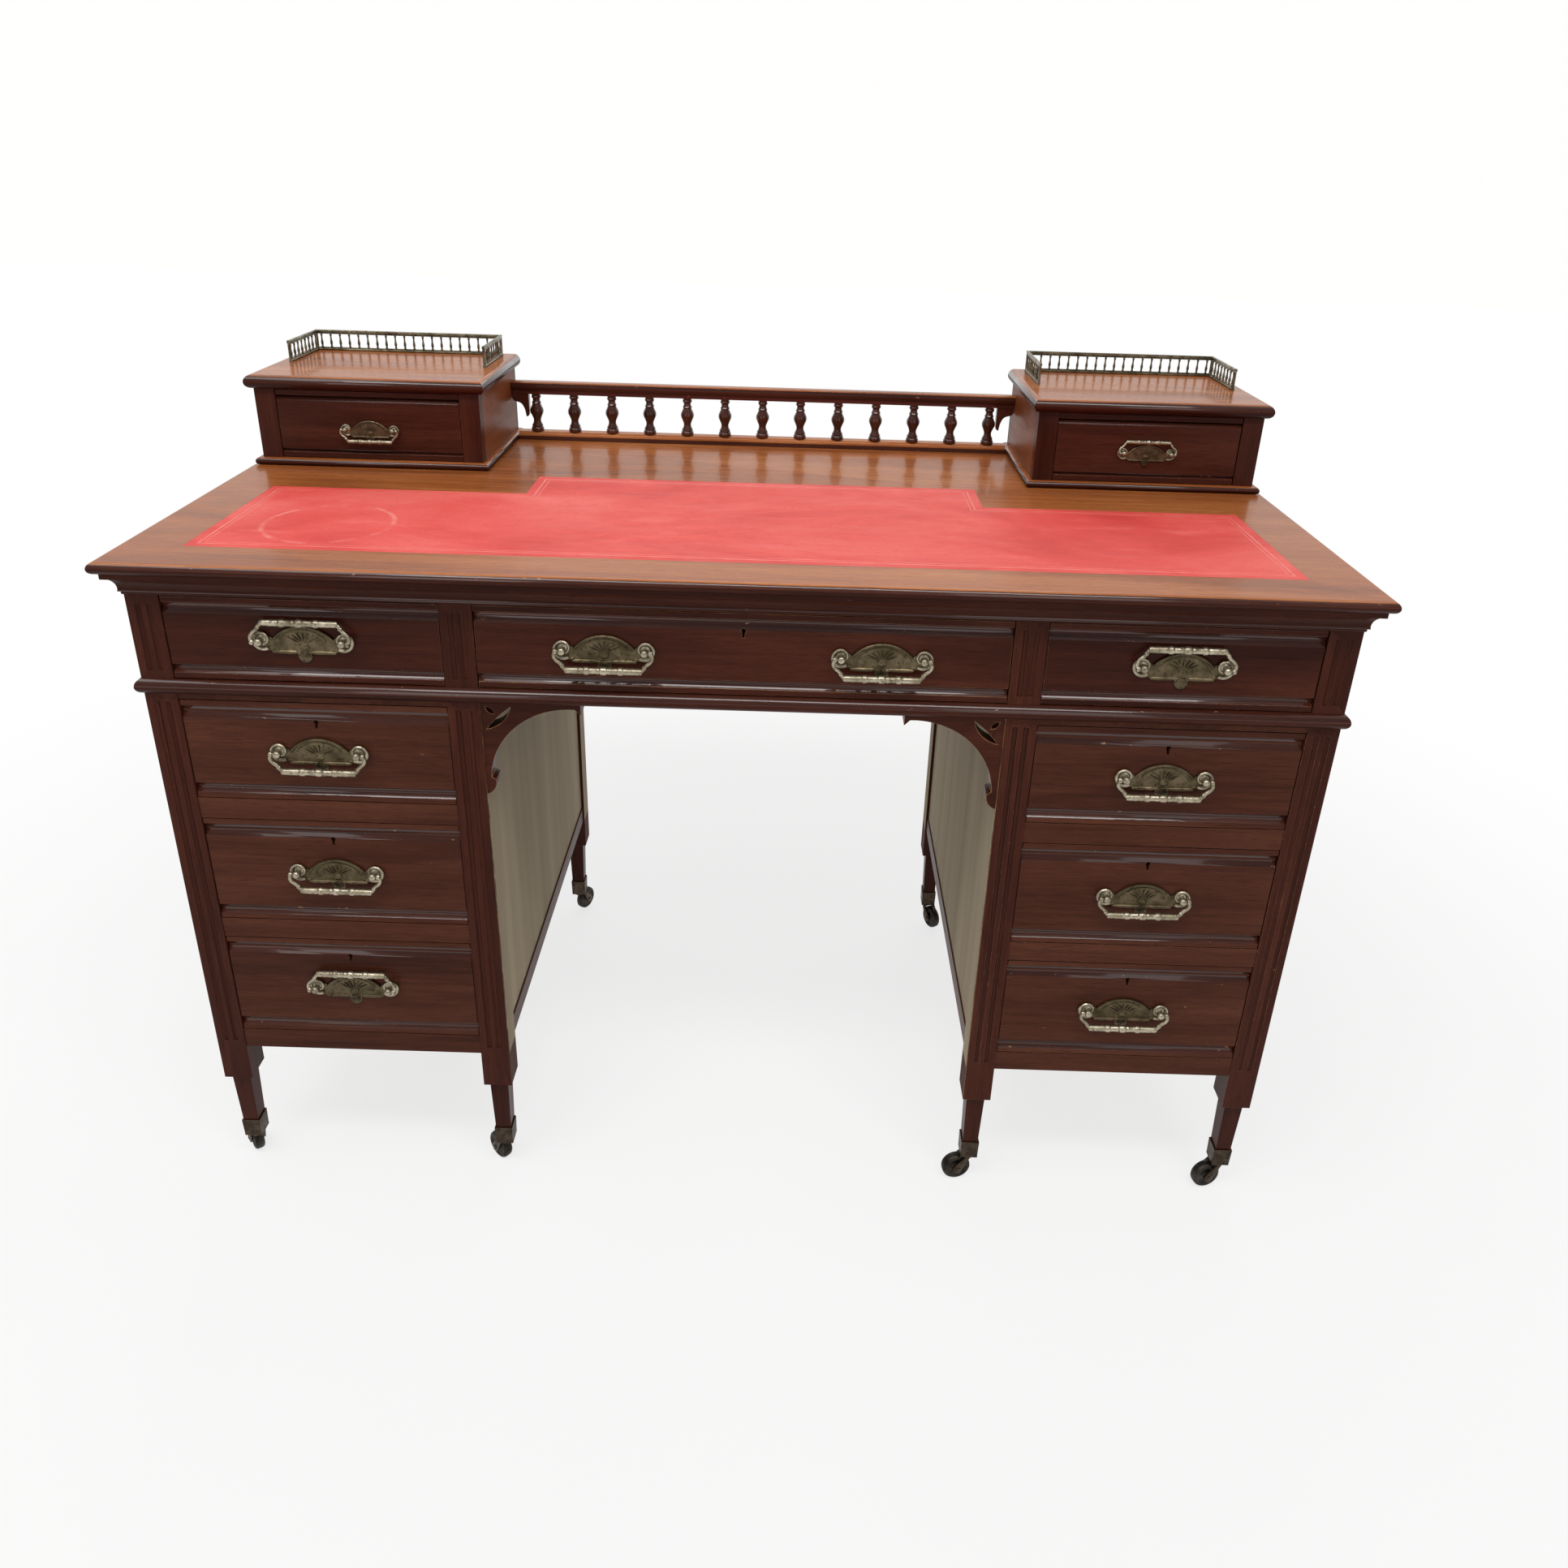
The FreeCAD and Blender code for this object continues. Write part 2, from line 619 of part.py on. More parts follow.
class Drawer:
    """One drawer: its opening, depth, bands of the front, handles and lock."""

    def __init__(self, opening, y0, back, bands, handles,
                 scale=1.0, lift=HANDLE_LIFT, keyhole=False, raised=False):
        self.x0, self.x1, self.floor, self.ceiling = opening
        self.y0 = y0
        self.back = back
        self.top_band, self.bottom_band = bands
        self.handles = handles
        self.scale = scale
        self.axis_z = (self.floor + self.ceiling) / 2 + lift
        self.keyhole = keyhole
        self.raised = raised

    def middle(self):
        return (self.x0 + self.x1) / 2

    def keyhole_height(self):
        return self.ceiling - DRAWER_GAP - self.top_band - KEYHOLE_RADIUS / 2

    def handle_places(self):
        return [V(self.middle() + offset, self.y0, self.axis_z) for offset in self.handles]

    def wood(self):
        x0 = self.x0 + DRAWER_GAP
        x1 = self.x1 - DRAWER_GAP
        z0 = self.floor + DRAWER_GAP
        z1 = self.ceiling - DRAWER_GAP
        front = drawer_front(x0, x1, z0, z1, self.y0, self.top_band, self.bottom_band)
        if self.keyhole:
            eye = V(self.middle(), self.y0, self.keyhole_height())
            half = KEYHOLE_SLOT / 2
            front = front.cut(rod(KEYHOLE_RADIUS, eye, eye + BACK * FRONT_THICKNESS))
            front = front.cut(box(eye.x - half, eye.x + half, self.y0, self.y0 + FRONT_THICKNESS,
                                  eye.z - KEYHOLE_DROP, eye.z))
        side_front = self.y0 + FRONT_THICKNESS
        side_low = self.floor + RUNNING_GAP
        side_high = z1 - SIDE_DROP
        inner_x0 = x0 + DRAWER_SIDE
        inner_x1 = x1 - DRAWER_SIDE
        base = self.floor + BOTTOM_LIFT
        solids = [front]
        solids.append(box(x0, inner_x0, side_front, self.back, side_low, side_high))
        solids.append(box(inner_x1, x1, side_front, self.back, side_low, side_high))
        back_front = self.back - DRAWER_BACK
        solids.append(box(inner_x0, inner_x1, back_front, self.back, base, side_high))
        solids.append(box(inner_x0, inner_x1, side_front, back_front, base, base + DRAWER_BOTTOM))
        return solids

    def fittings(self):
        solids = []
        for place in self.handle_places():
            for piece in [handle_plate(self.scale)] + handle_posts(self.scale):
                piece.translate(place)
                solids.append(piece)
        if self.keyhole:
            half = LOCK_WIDTH / 2
            lock_front = self.y0 + FRONT_THICKNESS
            high = self.ceiling - DRAWER_GAP
            low = high - LOCK_HEIGHT
            solids.append(box(self.middle() - half, self.middle() + half, lock_front,
                              lock_front + LOCK_THICKNESS, low, high))
        return solids

    def bails(self):
        shapes = []
        for place in self.handle_places():
            shape = bail(self.scale)
            if self.raised:
                shape.rotate(V(0, -PIVOT_OUT * self.scale, 0), -RIGHT, BAIL_RAISED_ANGLE)
            shape.translate(place)
            shapes.append(shape)
        return shapes


def handle_plate(k):
    """Back plate facing -Y, with scroll ends round both posts, a dome between them and a pendant."""
    half = HANDLE_PITCH / 2 * k
    dome = DOME_WIDTH / 2 * k
    low = -PLATE_DROP * k
    rise = SCROLL_RISE * k
    dip = SCROLL_DIP * k
    pendant = PENDANT_WIDTH / 2 * k
    waist = PENDANT_WAIST / 2 * k
    tip = low - PENDANT * k
    neck = (low + tip) / 2
    end_x = half + (rise - low) / 2
    end_z = (rise + low) / 2
    points = [(-half, low), (-pendant, low), (-waist, neck, 0, tip), (waist, neck, pendant, low)]
    points += [(half, low), (end_x, end_z, half, rise), (dome, dip), (0, DOME_RISE * k, -dome, dip)]
    points += [(-half, rise), (-end_x, end_z, -half, low)]
    return closed_face(path(points, lambda x, z: V(x, 0, z))).extrude(-BACK * PLATE * k)


def handle_posts(k):
    """Two posts seated on the plate, drilled from the outside for the pins of the bail."""
    pivot = -PIVOT_OUT * k
    head = POST_HEAD * k
    tip = pivot - head
    profile = [(tip, POST_TIP * k), (tip + POST_ROUND * k, head), (pivot + head - POST_ROUND * k, head)]
    profile += [(pivot + head, POST_NECK * k), (-PLATE * k, POST_NECK * k)]
    pieces = []
    for side in SIDES.values():
        foot = RIGHT * side * HANDLE_PITCH / 2 * k
        middle = foot + BACK * pivot
        bore = rod(PIN * k + PIN_CLEARANCE, middle, middle + RIGHT * side * head)
        pieces.append(faceted(profile, foot, BACK, POST_FLATS).cut(bore))
    return pieces


def bail(k):
    """Hanging bail: a bar that swells to a bead, and two sloping arms whose pins turn in the posts."""
    drop = -BAIL_DROP * k
    half = BAR_LENGTH / 2 * k
    bead = BEAD_WIDTH / 2 * k
    slope = bead + BEAD_SLOPE * k
    bar = [(-half, BAR_END * k), (-slope, BAR_RADIUS * k), (-bead, BEAD_RADIUS * k)]
    bar += [(bead, BEAD_RADIUS * k), (slope, BAR_RADIUS * k), (half, BAR_END * k)]
    pivot = BACK * -PIVOT_OUT * k
    shape = faceted(bar, pivot + UP * drop, RIGHT, BAR_FLATS)
    arm = ARM / 2 * k
    eye = EYE_RADIUS * k
    eye_in = (HANDLE_PITCH / 2 + POST_HEAD) * k + EYE_GAP
    eye_out = eye_in + EYE_WIDTH * k
    pin_end = HANDLE_PITCH / 2 * k + PIN_END_GAP
    outline = [(eye_in, eye), (eye_out, eye), (eye_out, -eye), (half + arm, drop - arm)]
    outline += [(half - arm, drop - arm), (half - arm, drop + arm), (eye_in, -eye), (eye_in, eye)]
    side_arm = closed_face(path(outline, lambda x, z: pivot + V(x, -arm, z))).extrude(BACK * 2 * arm)
    side_arm = side_arm.fuse(rod(PIN * k, pivot + RIGHT * pin_end, pivot + RIGHT * eye_in))
    return shape.fuse([side_arm, side_arm.mirror(ORIGIN, RIGHT)])


def drawers():
    bands = (FIELD_BAND_TOP, FIELD_BAND_BOTTOM)
    frieze_bands = (FRIEZE_BAND_TOP, FRIEZE_BAND_BOTTOM)
    box_bands = (BOX_BAND_TOP, BOX_BAND_BOTTOM)
    drawer_back = case_back - BACK_PANEL - DRAWER_REAR_CLEARANCE
    box_plane = box_front + RAIL_SETBACK
    box_drawer_back = box_back - BOX_BACK - BOX_DRAWER_CLEARANCE
    single = (0,)
    pair = (-CENTRE_HANDLE_OFFSET, CENTRE_HANDLE_OFFSET)
    made = {}
    for name, side in SIDES.items():
        near, far = sorted((side * opening_in, side * opening_out))
        opening = (near, far, waist_top, frieze_top)
        made["frieze_drawer_" + name] = Drawer(opening, front_plane, drawer_back, frieze_bands, single,
                                               raised=True)
        for level, floor in drawer_floors().items():
            opening = (near, far, floor, drawer_ceilings()[level])
            raised = (name, level) == ("left", "lower")
            made[name + "_drawer_" + level] = Drawer(opening, front_plane, drawer_back, bands, single,
                                                     keyhole=True, raised=raised)
        near, far = sorted((side * (box_in + BOX_STILE), side * (box_out - BOX_STILE)))
        opening = (near, far, box_floor, box_ceiling)
        made["box_drawer_" + name] = Drawer(opening, box_plane, box_drawer_back, box_bands, single,
                                            BOX_HANDLE_SCALE, BOX_HANDLE_LIFT, raised=name == "right")
    opening = (-kneehole_half, kneehole_half, waist_top, frieze_top)
    made["frieze_drawer_centre"] = Drawer(opening, front_plane, drawer_back, frieze_bands, pair,
                                          keyhole=True)
    return made


def top_box():
    base = half_round(WRITING_HEIGHT, box_floor, BOX_BASE_PROJECTION)
    lid = half_round(box_ceiling, lid_top, BOX_LID_PROJECTION)
    solids = [moulded(profile, box_in, box_out, box_front, box_back) for profile in (base, lid)]
    stile_back = box_front + BOX_STILE_DEPTH
    panel_front = box_back - BOX_BACK
    for x0, x1 in ((box_in, box_in + BOX_STILE), (box_out - BOX_STILE, box_out)):
        solids.append(box(x0, x1, box_front, stile_back, box_floor, box_ceiling))
    for x0, x1 in ((box_in, box_in + BOX_WALL), (box_out - BOX_WALL, box_out)):
        solids.append(box(x0, x1, stile_back, panel_front, box_floor, box_ceiling))
    guide_in = box_in + BOX_STILE - DIVIDER_RELIEF
    guide_out = box_out - BOX_STILE + DIVIDER_RELIEF
    for x0, x1 in ((box_in + BOX_WALL, guide_in), (guide_out, box_out - BOX_WALL)):
        solids.append(box(x0, x1, stile_back, panel_front, box_floor, box_floor + BOX_GUIDE))
    solids.append(box(box_in, box_out, panel_front, box_back, box_floor, box_ceiling))
    return solids


def gallery_base(low, high):
    """Lower rail, rounded over along its front."""
    half_length = box_in - BOX_BASE_PROJECTION
    front = -GALLERY_DEPTH / 2
    back = GALLERY_DEPTH / 2
    drop = GALLERY_ROUND * (1 - math.sqrt(0.5))
    points = [(front, low), (front, high - GALLERY_ROUND)]
    points += [(front + drop, high - drop, front + GALLERY_ROUND, high), (back, high)]
    points += [(back, low), (front, low)]
    face = closed_face(path(points, lambda y, z: V(-half_length, gallery_y + y, z)))
    return face.extrude(RIGHT * half_length * 2)


def gallery_rail(low, high):
    """Upper rail: a neck on the spindles under a wider round-edged cap."""
    neck = RAIL_NECK / 2
    shelf = low + RAIL_SHELF
    crown = (shelf + high) / 2
    edge = GALLERY_DEPTH / 2
    cap = edge - RAIL_ROUND
    points = [(-neck, low), (-neck, shelf), (-cap, shelf), (-edge, crown, -cap, high), (cap, high)]
    points += [(edge, crown, cap, shelf), (neck, shelf), (neck, low), (-neck, low)]
    return closed_face(path(points, lambda y, z: V(-box_in, gallery_y + y, z))).extrude(RIGHT * box_in * 2)


def gallery_ear(high):
    """Bracket under the upper rail, between the box and the last spindle, hollowed below."""
    inner = box_in - SPINDLE_END + SPINDLE_BULB + EAR_GAP
    toe = inner + EAR_TIP
    hollow_x = box_in - (box_in - toe) * math.sqrt(0.5)
    hollow_z = EAR_DROP - (EAR_DROP - EAR_TIP) * math.sqrt(0.5)
    points = [(inner, 0), (inner, -EAR_DROP), (toe, -EAR_DROP), (hollow_x, -hollow_z, box_in, -EAR_TIP)]
    points += [(box_in, 0), (inner, 0)]
    face = closed_face(path(points, lambda x, z: V(x, gallery_y - EAR_THICKNESS / 2, high + z)))
    return face.extrude(BACK * EAR_THICKNESS)


def spindle_gallery():
    low = WRITING_HEIGHT + GALLERY_BASE
    high = low + SPINDLE_HEIGHT
    solids = [gallery_base(WRITING_HEIGHT, low), gallery_rail(high, high + GALLERY_RAIL)]
    solids += both_sides([gallery_ear(high)])
    section = [(0, SPINDLE_FOOT), (SPINDLE_FOOT_HEIGHT, SPINDLE_FOOT), (SPINDLE_LOWER_NECK, SPINDLE_NECK)]
    section += [(SPINDLE_BULB_LOW, SPINDLE_BULB), (SPINDLE_BULB_HIGH, SPINDLE_BULB)]
    section += [(SPINDLE_UPPER_NECK, SPINDLE_NECK), (SPINDLE_COLLAR_LOW, SPINDLE_COLLAR)]
    section += [(SPINDLE_COLLAR_HIGH, SPINDLE_COLLAR), (SPINDLE_HEIGHT, SPINDLE_TOP)]
    spacing = 2 * (box_in - SPINDLE_END) / (SPINDLES - 1)
    for index in range(SPINDLES):
        x = (index - (SPINDLES - 1) / 2) * spacing
        solids.append(faceted(section, V(x, gallery_y, low), UP, SPINDLE_FLATS))
    return solids


def pierced_strip(length):
    """Cast strip along X, pierced so that vase-shaped balusters stand between sill and cap."""
    strip = box(0, length, 0, BRASS_THICKNESS, 0, BRASS_HEIGHT)
    count = max(1, int(length / BALUSTER_PITCH))
    pitch = length / count
    wide = (pitch - BALUSTER_NECK) / 2
    narrow = (pitch - BALUSTER_BULB) / 2
    low = BRASS_SILL
    high = BRASS_HEIGHT - BRASS_CAP
    bulb = low + BULB_HEIGHT
    holes = []
    for index in range(count):
        x = pitch * (index + 0.5)
        points = [(x - wide, low), (x + wide, low), (x + narrow, bulb), (x + wide, high), (x - wide, high)]
        points += [(x - narrow, bulb), (x - wide, low)]
        holes.append(closed_face(path(points, lambda px, pz: V(px, 0, pz))).extrude(BACK * BRASS_THICKNESS))
    return strip.cut(holes)


def brass_gallery():
    x0 = box_in + BRASS_INSET
    x1 = box_out - BRASS_INSET
    y1 = box_back - BRASS_REAR_INSET
    back = pierced_strip(x1 - x0)
    back.translate(V(x0, y1 - BRASS_THICKNESS, lid_top))
    solids = [back]
    for x in (x0 + BRASS_THICKNESS, x1):
        strip = pierced_strip(BRASS_RETURN)
        strip.rotate(ORIGIN, UP, 90)
        strip.translate(V(x, y1 - BRASS_THICKNESS - BRASS_RETURN, lid_top))
        solids.append(strip)
    return solids


def both_sides(solids):
    return solids + [to_side(solid, -1) for solid in solids]


def nodes():
    made = {
        "writing_top": writing_top(),
        "leather_skiver": [leather_outline(LEATHER_FIT)],
        "frieze_case": frieze_case(),
        "kneehole_brackets": kneehole_brackets(),
        "castor_cups": castor_cups(),
        "top_box_cases": both_sides(top_box()),
        "spindle_gallery": spindle_gallery(),
        "brass_galleries": both_sides(brass_gallery()),
    }
    pedestal_solids = pedestal()
    for name, side in SIDES.items():
        made[name + "_pedestal"] = [to_side(solid, side) for solid in pedestal_solids]
    for name, place in CASTORS.items():
        made[name + "_castor_fork"] = [castor_fork(*place)]
        made[name + "_castor_wheel"] = [castor_wheel(*place)]
    for name, drawer in drawers().items():
        made[name] = drawer.wood()
        made[name + "_fittings"] = drawer.fittings()
        shapes = drawer.bails()
        endings = ["_bail"] if len(shapes) == 1 else ["_left_bail", "_right_bail"]
        for ending, shape in zip(endings, shapes):
            made[name + ending] = [shape]
    return made


def export(made):
    os.makedirs("parts", exist_ok=True)
    for name, solids in made.items():
        shape = solids[0] if len(solids) == 1 else Part.makeCompound(solids)
        shape.exportStep(os.path.join("parts", name + ".step"))


if __name__ == "__main__":
    export(nodes())
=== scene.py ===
import json
import math

import bmesh
import bpy
from mathutils import Matrix, Vector

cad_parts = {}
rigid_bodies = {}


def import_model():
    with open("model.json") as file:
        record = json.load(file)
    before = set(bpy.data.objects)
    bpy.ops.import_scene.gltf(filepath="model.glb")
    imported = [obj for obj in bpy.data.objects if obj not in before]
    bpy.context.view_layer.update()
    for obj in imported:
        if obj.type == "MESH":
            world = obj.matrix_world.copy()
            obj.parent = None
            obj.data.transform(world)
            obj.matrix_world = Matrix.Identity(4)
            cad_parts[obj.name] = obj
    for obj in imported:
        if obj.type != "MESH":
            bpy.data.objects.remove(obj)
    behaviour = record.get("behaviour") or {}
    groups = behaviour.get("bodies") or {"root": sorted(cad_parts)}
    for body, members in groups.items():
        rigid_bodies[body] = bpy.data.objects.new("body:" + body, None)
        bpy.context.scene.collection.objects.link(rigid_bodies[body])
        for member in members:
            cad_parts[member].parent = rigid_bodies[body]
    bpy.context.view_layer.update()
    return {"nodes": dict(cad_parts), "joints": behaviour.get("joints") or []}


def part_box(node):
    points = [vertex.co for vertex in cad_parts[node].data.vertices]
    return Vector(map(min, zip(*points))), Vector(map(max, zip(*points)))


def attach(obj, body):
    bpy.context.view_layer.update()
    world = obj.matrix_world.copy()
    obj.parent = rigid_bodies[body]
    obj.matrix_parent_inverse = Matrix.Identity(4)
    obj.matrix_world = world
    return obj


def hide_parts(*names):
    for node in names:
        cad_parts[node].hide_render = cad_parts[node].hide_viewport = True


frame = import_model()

# Shapes are drawn in millimetres and placed in the frame in metres
MM = 0.001
SIDES = {"left": -1, "right": 1}
DRAWERS = [name.removesuffix("_fittings") for name in frame["nodes"] if name.endswith("_fittings")]
UNLOCKED = ("box", "frieze_drawer_left", "frieze_drawer_right")
ACROSS = (1, 0, 0)
INWARDS = (0, 1, 0)
OUTWARDS = (0, -1, 0)
UPWARDS = (0, 0, 1)

# Case
FRONT_THICKNESS = 20.0
CASE_FRONT = -266.0
KNEEHOLE_HALF = 261.0
LEG_TOP = 178.0

# Boards are told apart by size and place
TOP_LEAST_WIDTH = 1100.0
TOP_LEAST_DEPTH = 400.0
LID_MOST_HEIGHT = 20.0
LID_LEAST_DEPTH = 150.0
PANEL_MOST_WIDTH = 12.0
PANEL_LEAST_HEIGHT = 200.0
RUNNER_MOST_HEIGHT = 25.0
RUNNER_LEAST_DEPTH = 200.0
# Panels nearer to the middle than this face the kneehole
KNEEHOLE_REACH = 280.0
# Boards that start behind this line don't show at the front
HIDDEN_FROM = -262.0
# Smallest faces given the painted light of the box sides, and smallest unpolished faces, in square
# metres
LIT_SIDE_AREA = 1e-3
BARE_AREA = 4e-5

# Edges and faces
EASED_ANGLE = math.radians(40)
FLAT_ANGLE = math.radians(0.5)
WELD = 0.02 * MM
FLUSH = 0.05 * MM
# Share of a normal along an axis: square to it, level, upward, sideways, and the most for a
# moulding that runs across
SQUARE = 0.995
LEVEL = 0.8
UPWARD = 0.1
SIDEWAYS = 0.5
MOULDING_LEAN = 0.3
# Raised forms start with a low wall and end in a small flat
BOSS_WALL = 0.25
BOSS_TIP = 0.04

# Steps in from the edge of the leather: inset, drop and material slot
TOOLING = [(9.0, 0.0, 0), (0.5, -0.12, 1), (1.4, 0.0, 1), (0.5, 0.12, 1),
           (3.0, 0.0, 0), (0.4, -0.08, 1), (0.5, 0.0, 1), (0.4, 0.08, 1)]
# Pale ring on the leather, in metres
RING_CENTRE = (-0.435, -0.148, 0.0)
RING_RADIUS = 0.065
RING_WIDTH = 0.0045

# Handles, at the size of the large drawers
POST_X = 40.0
PIVOT_OUT = 9.5
BAIL_DROP = 19.5
BAR_END = 38.0
BOX_HANDLE_SCALE = 0.7
BAIL_RAISED_ANGLE = math.radians(191)
PLATE = 1.6
PLATE_LOW = -11.5
PLATE_HIGH = 8.0
DOME_HALF = 29.0
DOME_RISE = 15.0
DOME_FOOT = 1.0
FAN_RIBS = range(-3, 4)
FAN_STEP = math.radians(19)
VOLUTE_RADIUS = 9.6
VOLUTE_STEPS = 34
VOLUTE_FOOT = [(-3.2, 0.6), (0.0, -2.4), (3.2, 0.6), (2.4, 2.6), (-2.4, 2.6)]
LEDGE = [(7.0, 1.6), (12.0, 2.1), (24.0, 2.1), (31.0, 1.6)]
PENDANT_HALF = [(9.4, PLATE_LOW), (8.8, -13.4), (7.0, -15.4), (7.2, -18.2), (5.6, -21.8),
                (2.8, -23.9), (0.0, -24.4)]
NUT = [(-4.2, -4.2), (4.2, -4.2), (4.2, 4.2), (-4.2, 4.2)]
# From a post's middle to the bail's knuckle, and the play between them at any size
KNUCKLE_FROM = 3.6
KNUCKLE_PLAY = 0.8

# Locks
LOCK_HALF = 23.0
LOCK_HEIGHT = 38.0
LOCK_PLATE = 2.2
LOCK_DEPTH = 9.0
LOCK_LIP = 1.6
LOCK_CASE_HALF = 18.0
LOCK_CASE_LOW = 34.0
LOCK_CASE_HIGH = 4.0
LOCK_BOSS_LOW = 20.0
LOCK_SCREWS = [(-20.3, -6.0), (-20.3, -32.0), (20.3, -6.0), (20.3, -32.0)]

# Turned profiles: distance along the axis and radius
POST = [(PLATE, 5.2), (PLATE + 1.0, 5.0), (PLATE + 1.9, 3.1), (PLATE + 3.2, 2.6), (5.6, 2.9),
        (6.6, 3.6), (8.0, 4.1), (9.5, 4.2), (11.0, 4.0), (12.4, 3.2), (13.3, 1.9), (13.6, 0.3)]
STUD = [(4.4, 2.4), (6.4, 2.4), (6.8, 1.9)]
LOCK_SCREW = [(2.2, 2.0), (2.7, 1.9), (3.1, 0.9)]
LOCK_BOSS = [(9.0, 4.0), (9.6, 3.8), (9.7, 2.4)]
BAR_HALF = [(0.0, 4.4), (1.8, 4.3), (3.4, 3.8), (3.9, 3.3), (4.8, 3.3), (5.4, 3.7), (6.4, 3.7),
            (7.0, 3.3), (13.4, 3.4), (14.0, 4.0), (15.6, 4.3), (17.4, 4.3), (19.0, 4.0),
            (19.6, 3.4), (22.0, 3.7), (25.0, 3.4), (28.0, 3.7), (31.0, 3.4), (34.0, 3.5),
            (BAR_END - 1.6, 3.4), (BAR_END - 0.4, 2.8), (BAR_END, 1.2)]
KNUCKLE = [(0.0, 1.4), (0.15, 2.6), (1.0, 3.1), (2.6, 3.1), (3.6, 2.5), (4.0, 1.2)]
PIN = [(-4.0, 1.45), (0.4, 1.45)]
NUB = [(-2.2, 0.6), (-1.7, 2.0), (0.0, 2.9), (1.7, 2.0), (2.2, 0.6)]
WHEEL_HALF = [(0.0, 17.0), (2.2, 16.95), (4.0, 16.5), (5.2, 15.4), (5.8, 13.8), (5.75, 12.4),
              (4.6, 11.2), (4.4, 7.0), (5.4, 6.0), (5.95, 5.2), (6.0, 3.4)]
AXLE_END = [(9.02, 2.9), (9.5, 2.8), (9.9, 1.9)]
# Here the distance is a share of the height
SPINDLE = [(0.0, 7.6), (0.02, 8.2), (0.085, 8.2), (0.11, 7.4), (0.125, 6.6), (0.145, 7.3),
           (0.165, 7.0), (0.21, 5.6), (0.27, 4.8), (0.33, 5.0), (0.41, 6.6), (0.49, 8.4),
           (0.545, 8.8), (0.60, 8.3), (0.67, 6.6), (0.73, 5.4), (0.76, 6.2), (0.785, 5.4),
           (0.81, 4.8), (0.87, 4.7), (0.90, 6.0), (0.93, 6.3), (0.95, 5.6), (1.0, 6.0)]
BALUSTER = [(0.0, 1.5), (0.06, 1.5), (0.10, 1.1), (0.22, 1.4), (0.34, 1.75), (0.46, 1.4),
            (0.62, 1.0), (0.82, 0.95), (0.88, 1.4), (0.94, 1.5), (1.0, 1.2)]

# Spindle gallery
SPINDLES = 13
SPINDLE_END = 31.5
GALLERY_BASE = 11.0
GALLERY_RAIL = 16.0
GALLERY_ROUND = 5.5
RAIL_SHELF = 5.5
RAIL_NECK = 10.5
RAIL_ROUND = 1.6
RAIL_TOP = 1.2
BOX_BASE_PROJECTION = 7.5
EAR_FROM = 9.0
EAR_HALF = 4.0

# Brass galleries
BALUSTER_PITCH = 12.2
BALUSTER_FOOT = 4.2
BALUSTER_HEAD = 5.2
GALLERY_WIRE = 3.0

# Material slots of the handles and of the spindle gallery
CAST, STEEL, BRIGHT = range(3)
# The last gallery slot is the pale top wood on the rails' upper faces, faded and partly painted
# light
TURNED, MOULDED, FADED_AND_LIT = range(3)

# Lamps: place, target and size in metres, and power in watts
LAMPS = {
    "ceiling_lamp": ((0.0, -1.4, 3.0), (0.0, -0.4, 0.5), (3.2, 0.5), 48),
    "left_lamp": ((-1.6, -0.6, 2.9), (-0.2, 0.0, 0.6), (1.4, 1.4), 16),
    "right_window": ((1.5, -3.0, 1.5), (0.4, 0.0, 0.5), (1.1, 2.0), 9),
    "left_window": ((-1.7, -3.0, 1.4), (0.0, 0.0, 0.4), (0.9, 1.6), 9),
    "back_lamp": ((0.1, 2.2, 2.6), (0.0, 0.0, 0.8), (2.6, 1.6), 19),
}
# The floor whitens from the near distance to the far one, in metres
FLOOR = 9.0
FLOOR_WHITE = 0.75
FLOOR_NEAR = 0.7
FLOOR_FAR = 1.9
# Strength of the surround as light, and at its dimmest in reflections
SKY_LIGHT = 0.38
SKY_DIM = 0.22

# Camera, from the perspective of the photograph
IMAGE = 1932.0
FOCAL_PIXELS = 1465.2
CENTRE_PIXEL = (970.3, 812.6)
PITCH = math.radians(23.741)
YAW = math.radians(-0.063)
ROLL = math.radians(-1.720)
EYE = Vector((44.3, -1323.2, 1146.0))
SENSOR = 36.0


def add_object(name, data):
    made = bpy.data.objects.new(name, data)
    bpy.context.scene.collection.objects.link(made)
    return made


def add_mesh(name, mesh, materials):
    """Object in the scene from a gathered mesh."""
    data = bpy.data.meshes.new(name)
    mesh.to_mesh(data)
    mesh.free()
    for material in materials:
        data.materials.append(material)
    return add_object(name, data)


def turns(count):
    """Angles of equal steps round a circle."""
    return [2 * math.pi * step / count for step in range(count)]


def spokes(across, over, count):
    return [across * math.cos(turn) + over * math.sin(turn) for turn in turns(count)]


def scaled(points, factor):
    return [(u * factor, v * factor) for u, v in points]


def both_halves(half):
    """Profile that is the same either way from its middle."""
    return [(-distance, radius) for distance, radius in reversed(half[1:])] + half


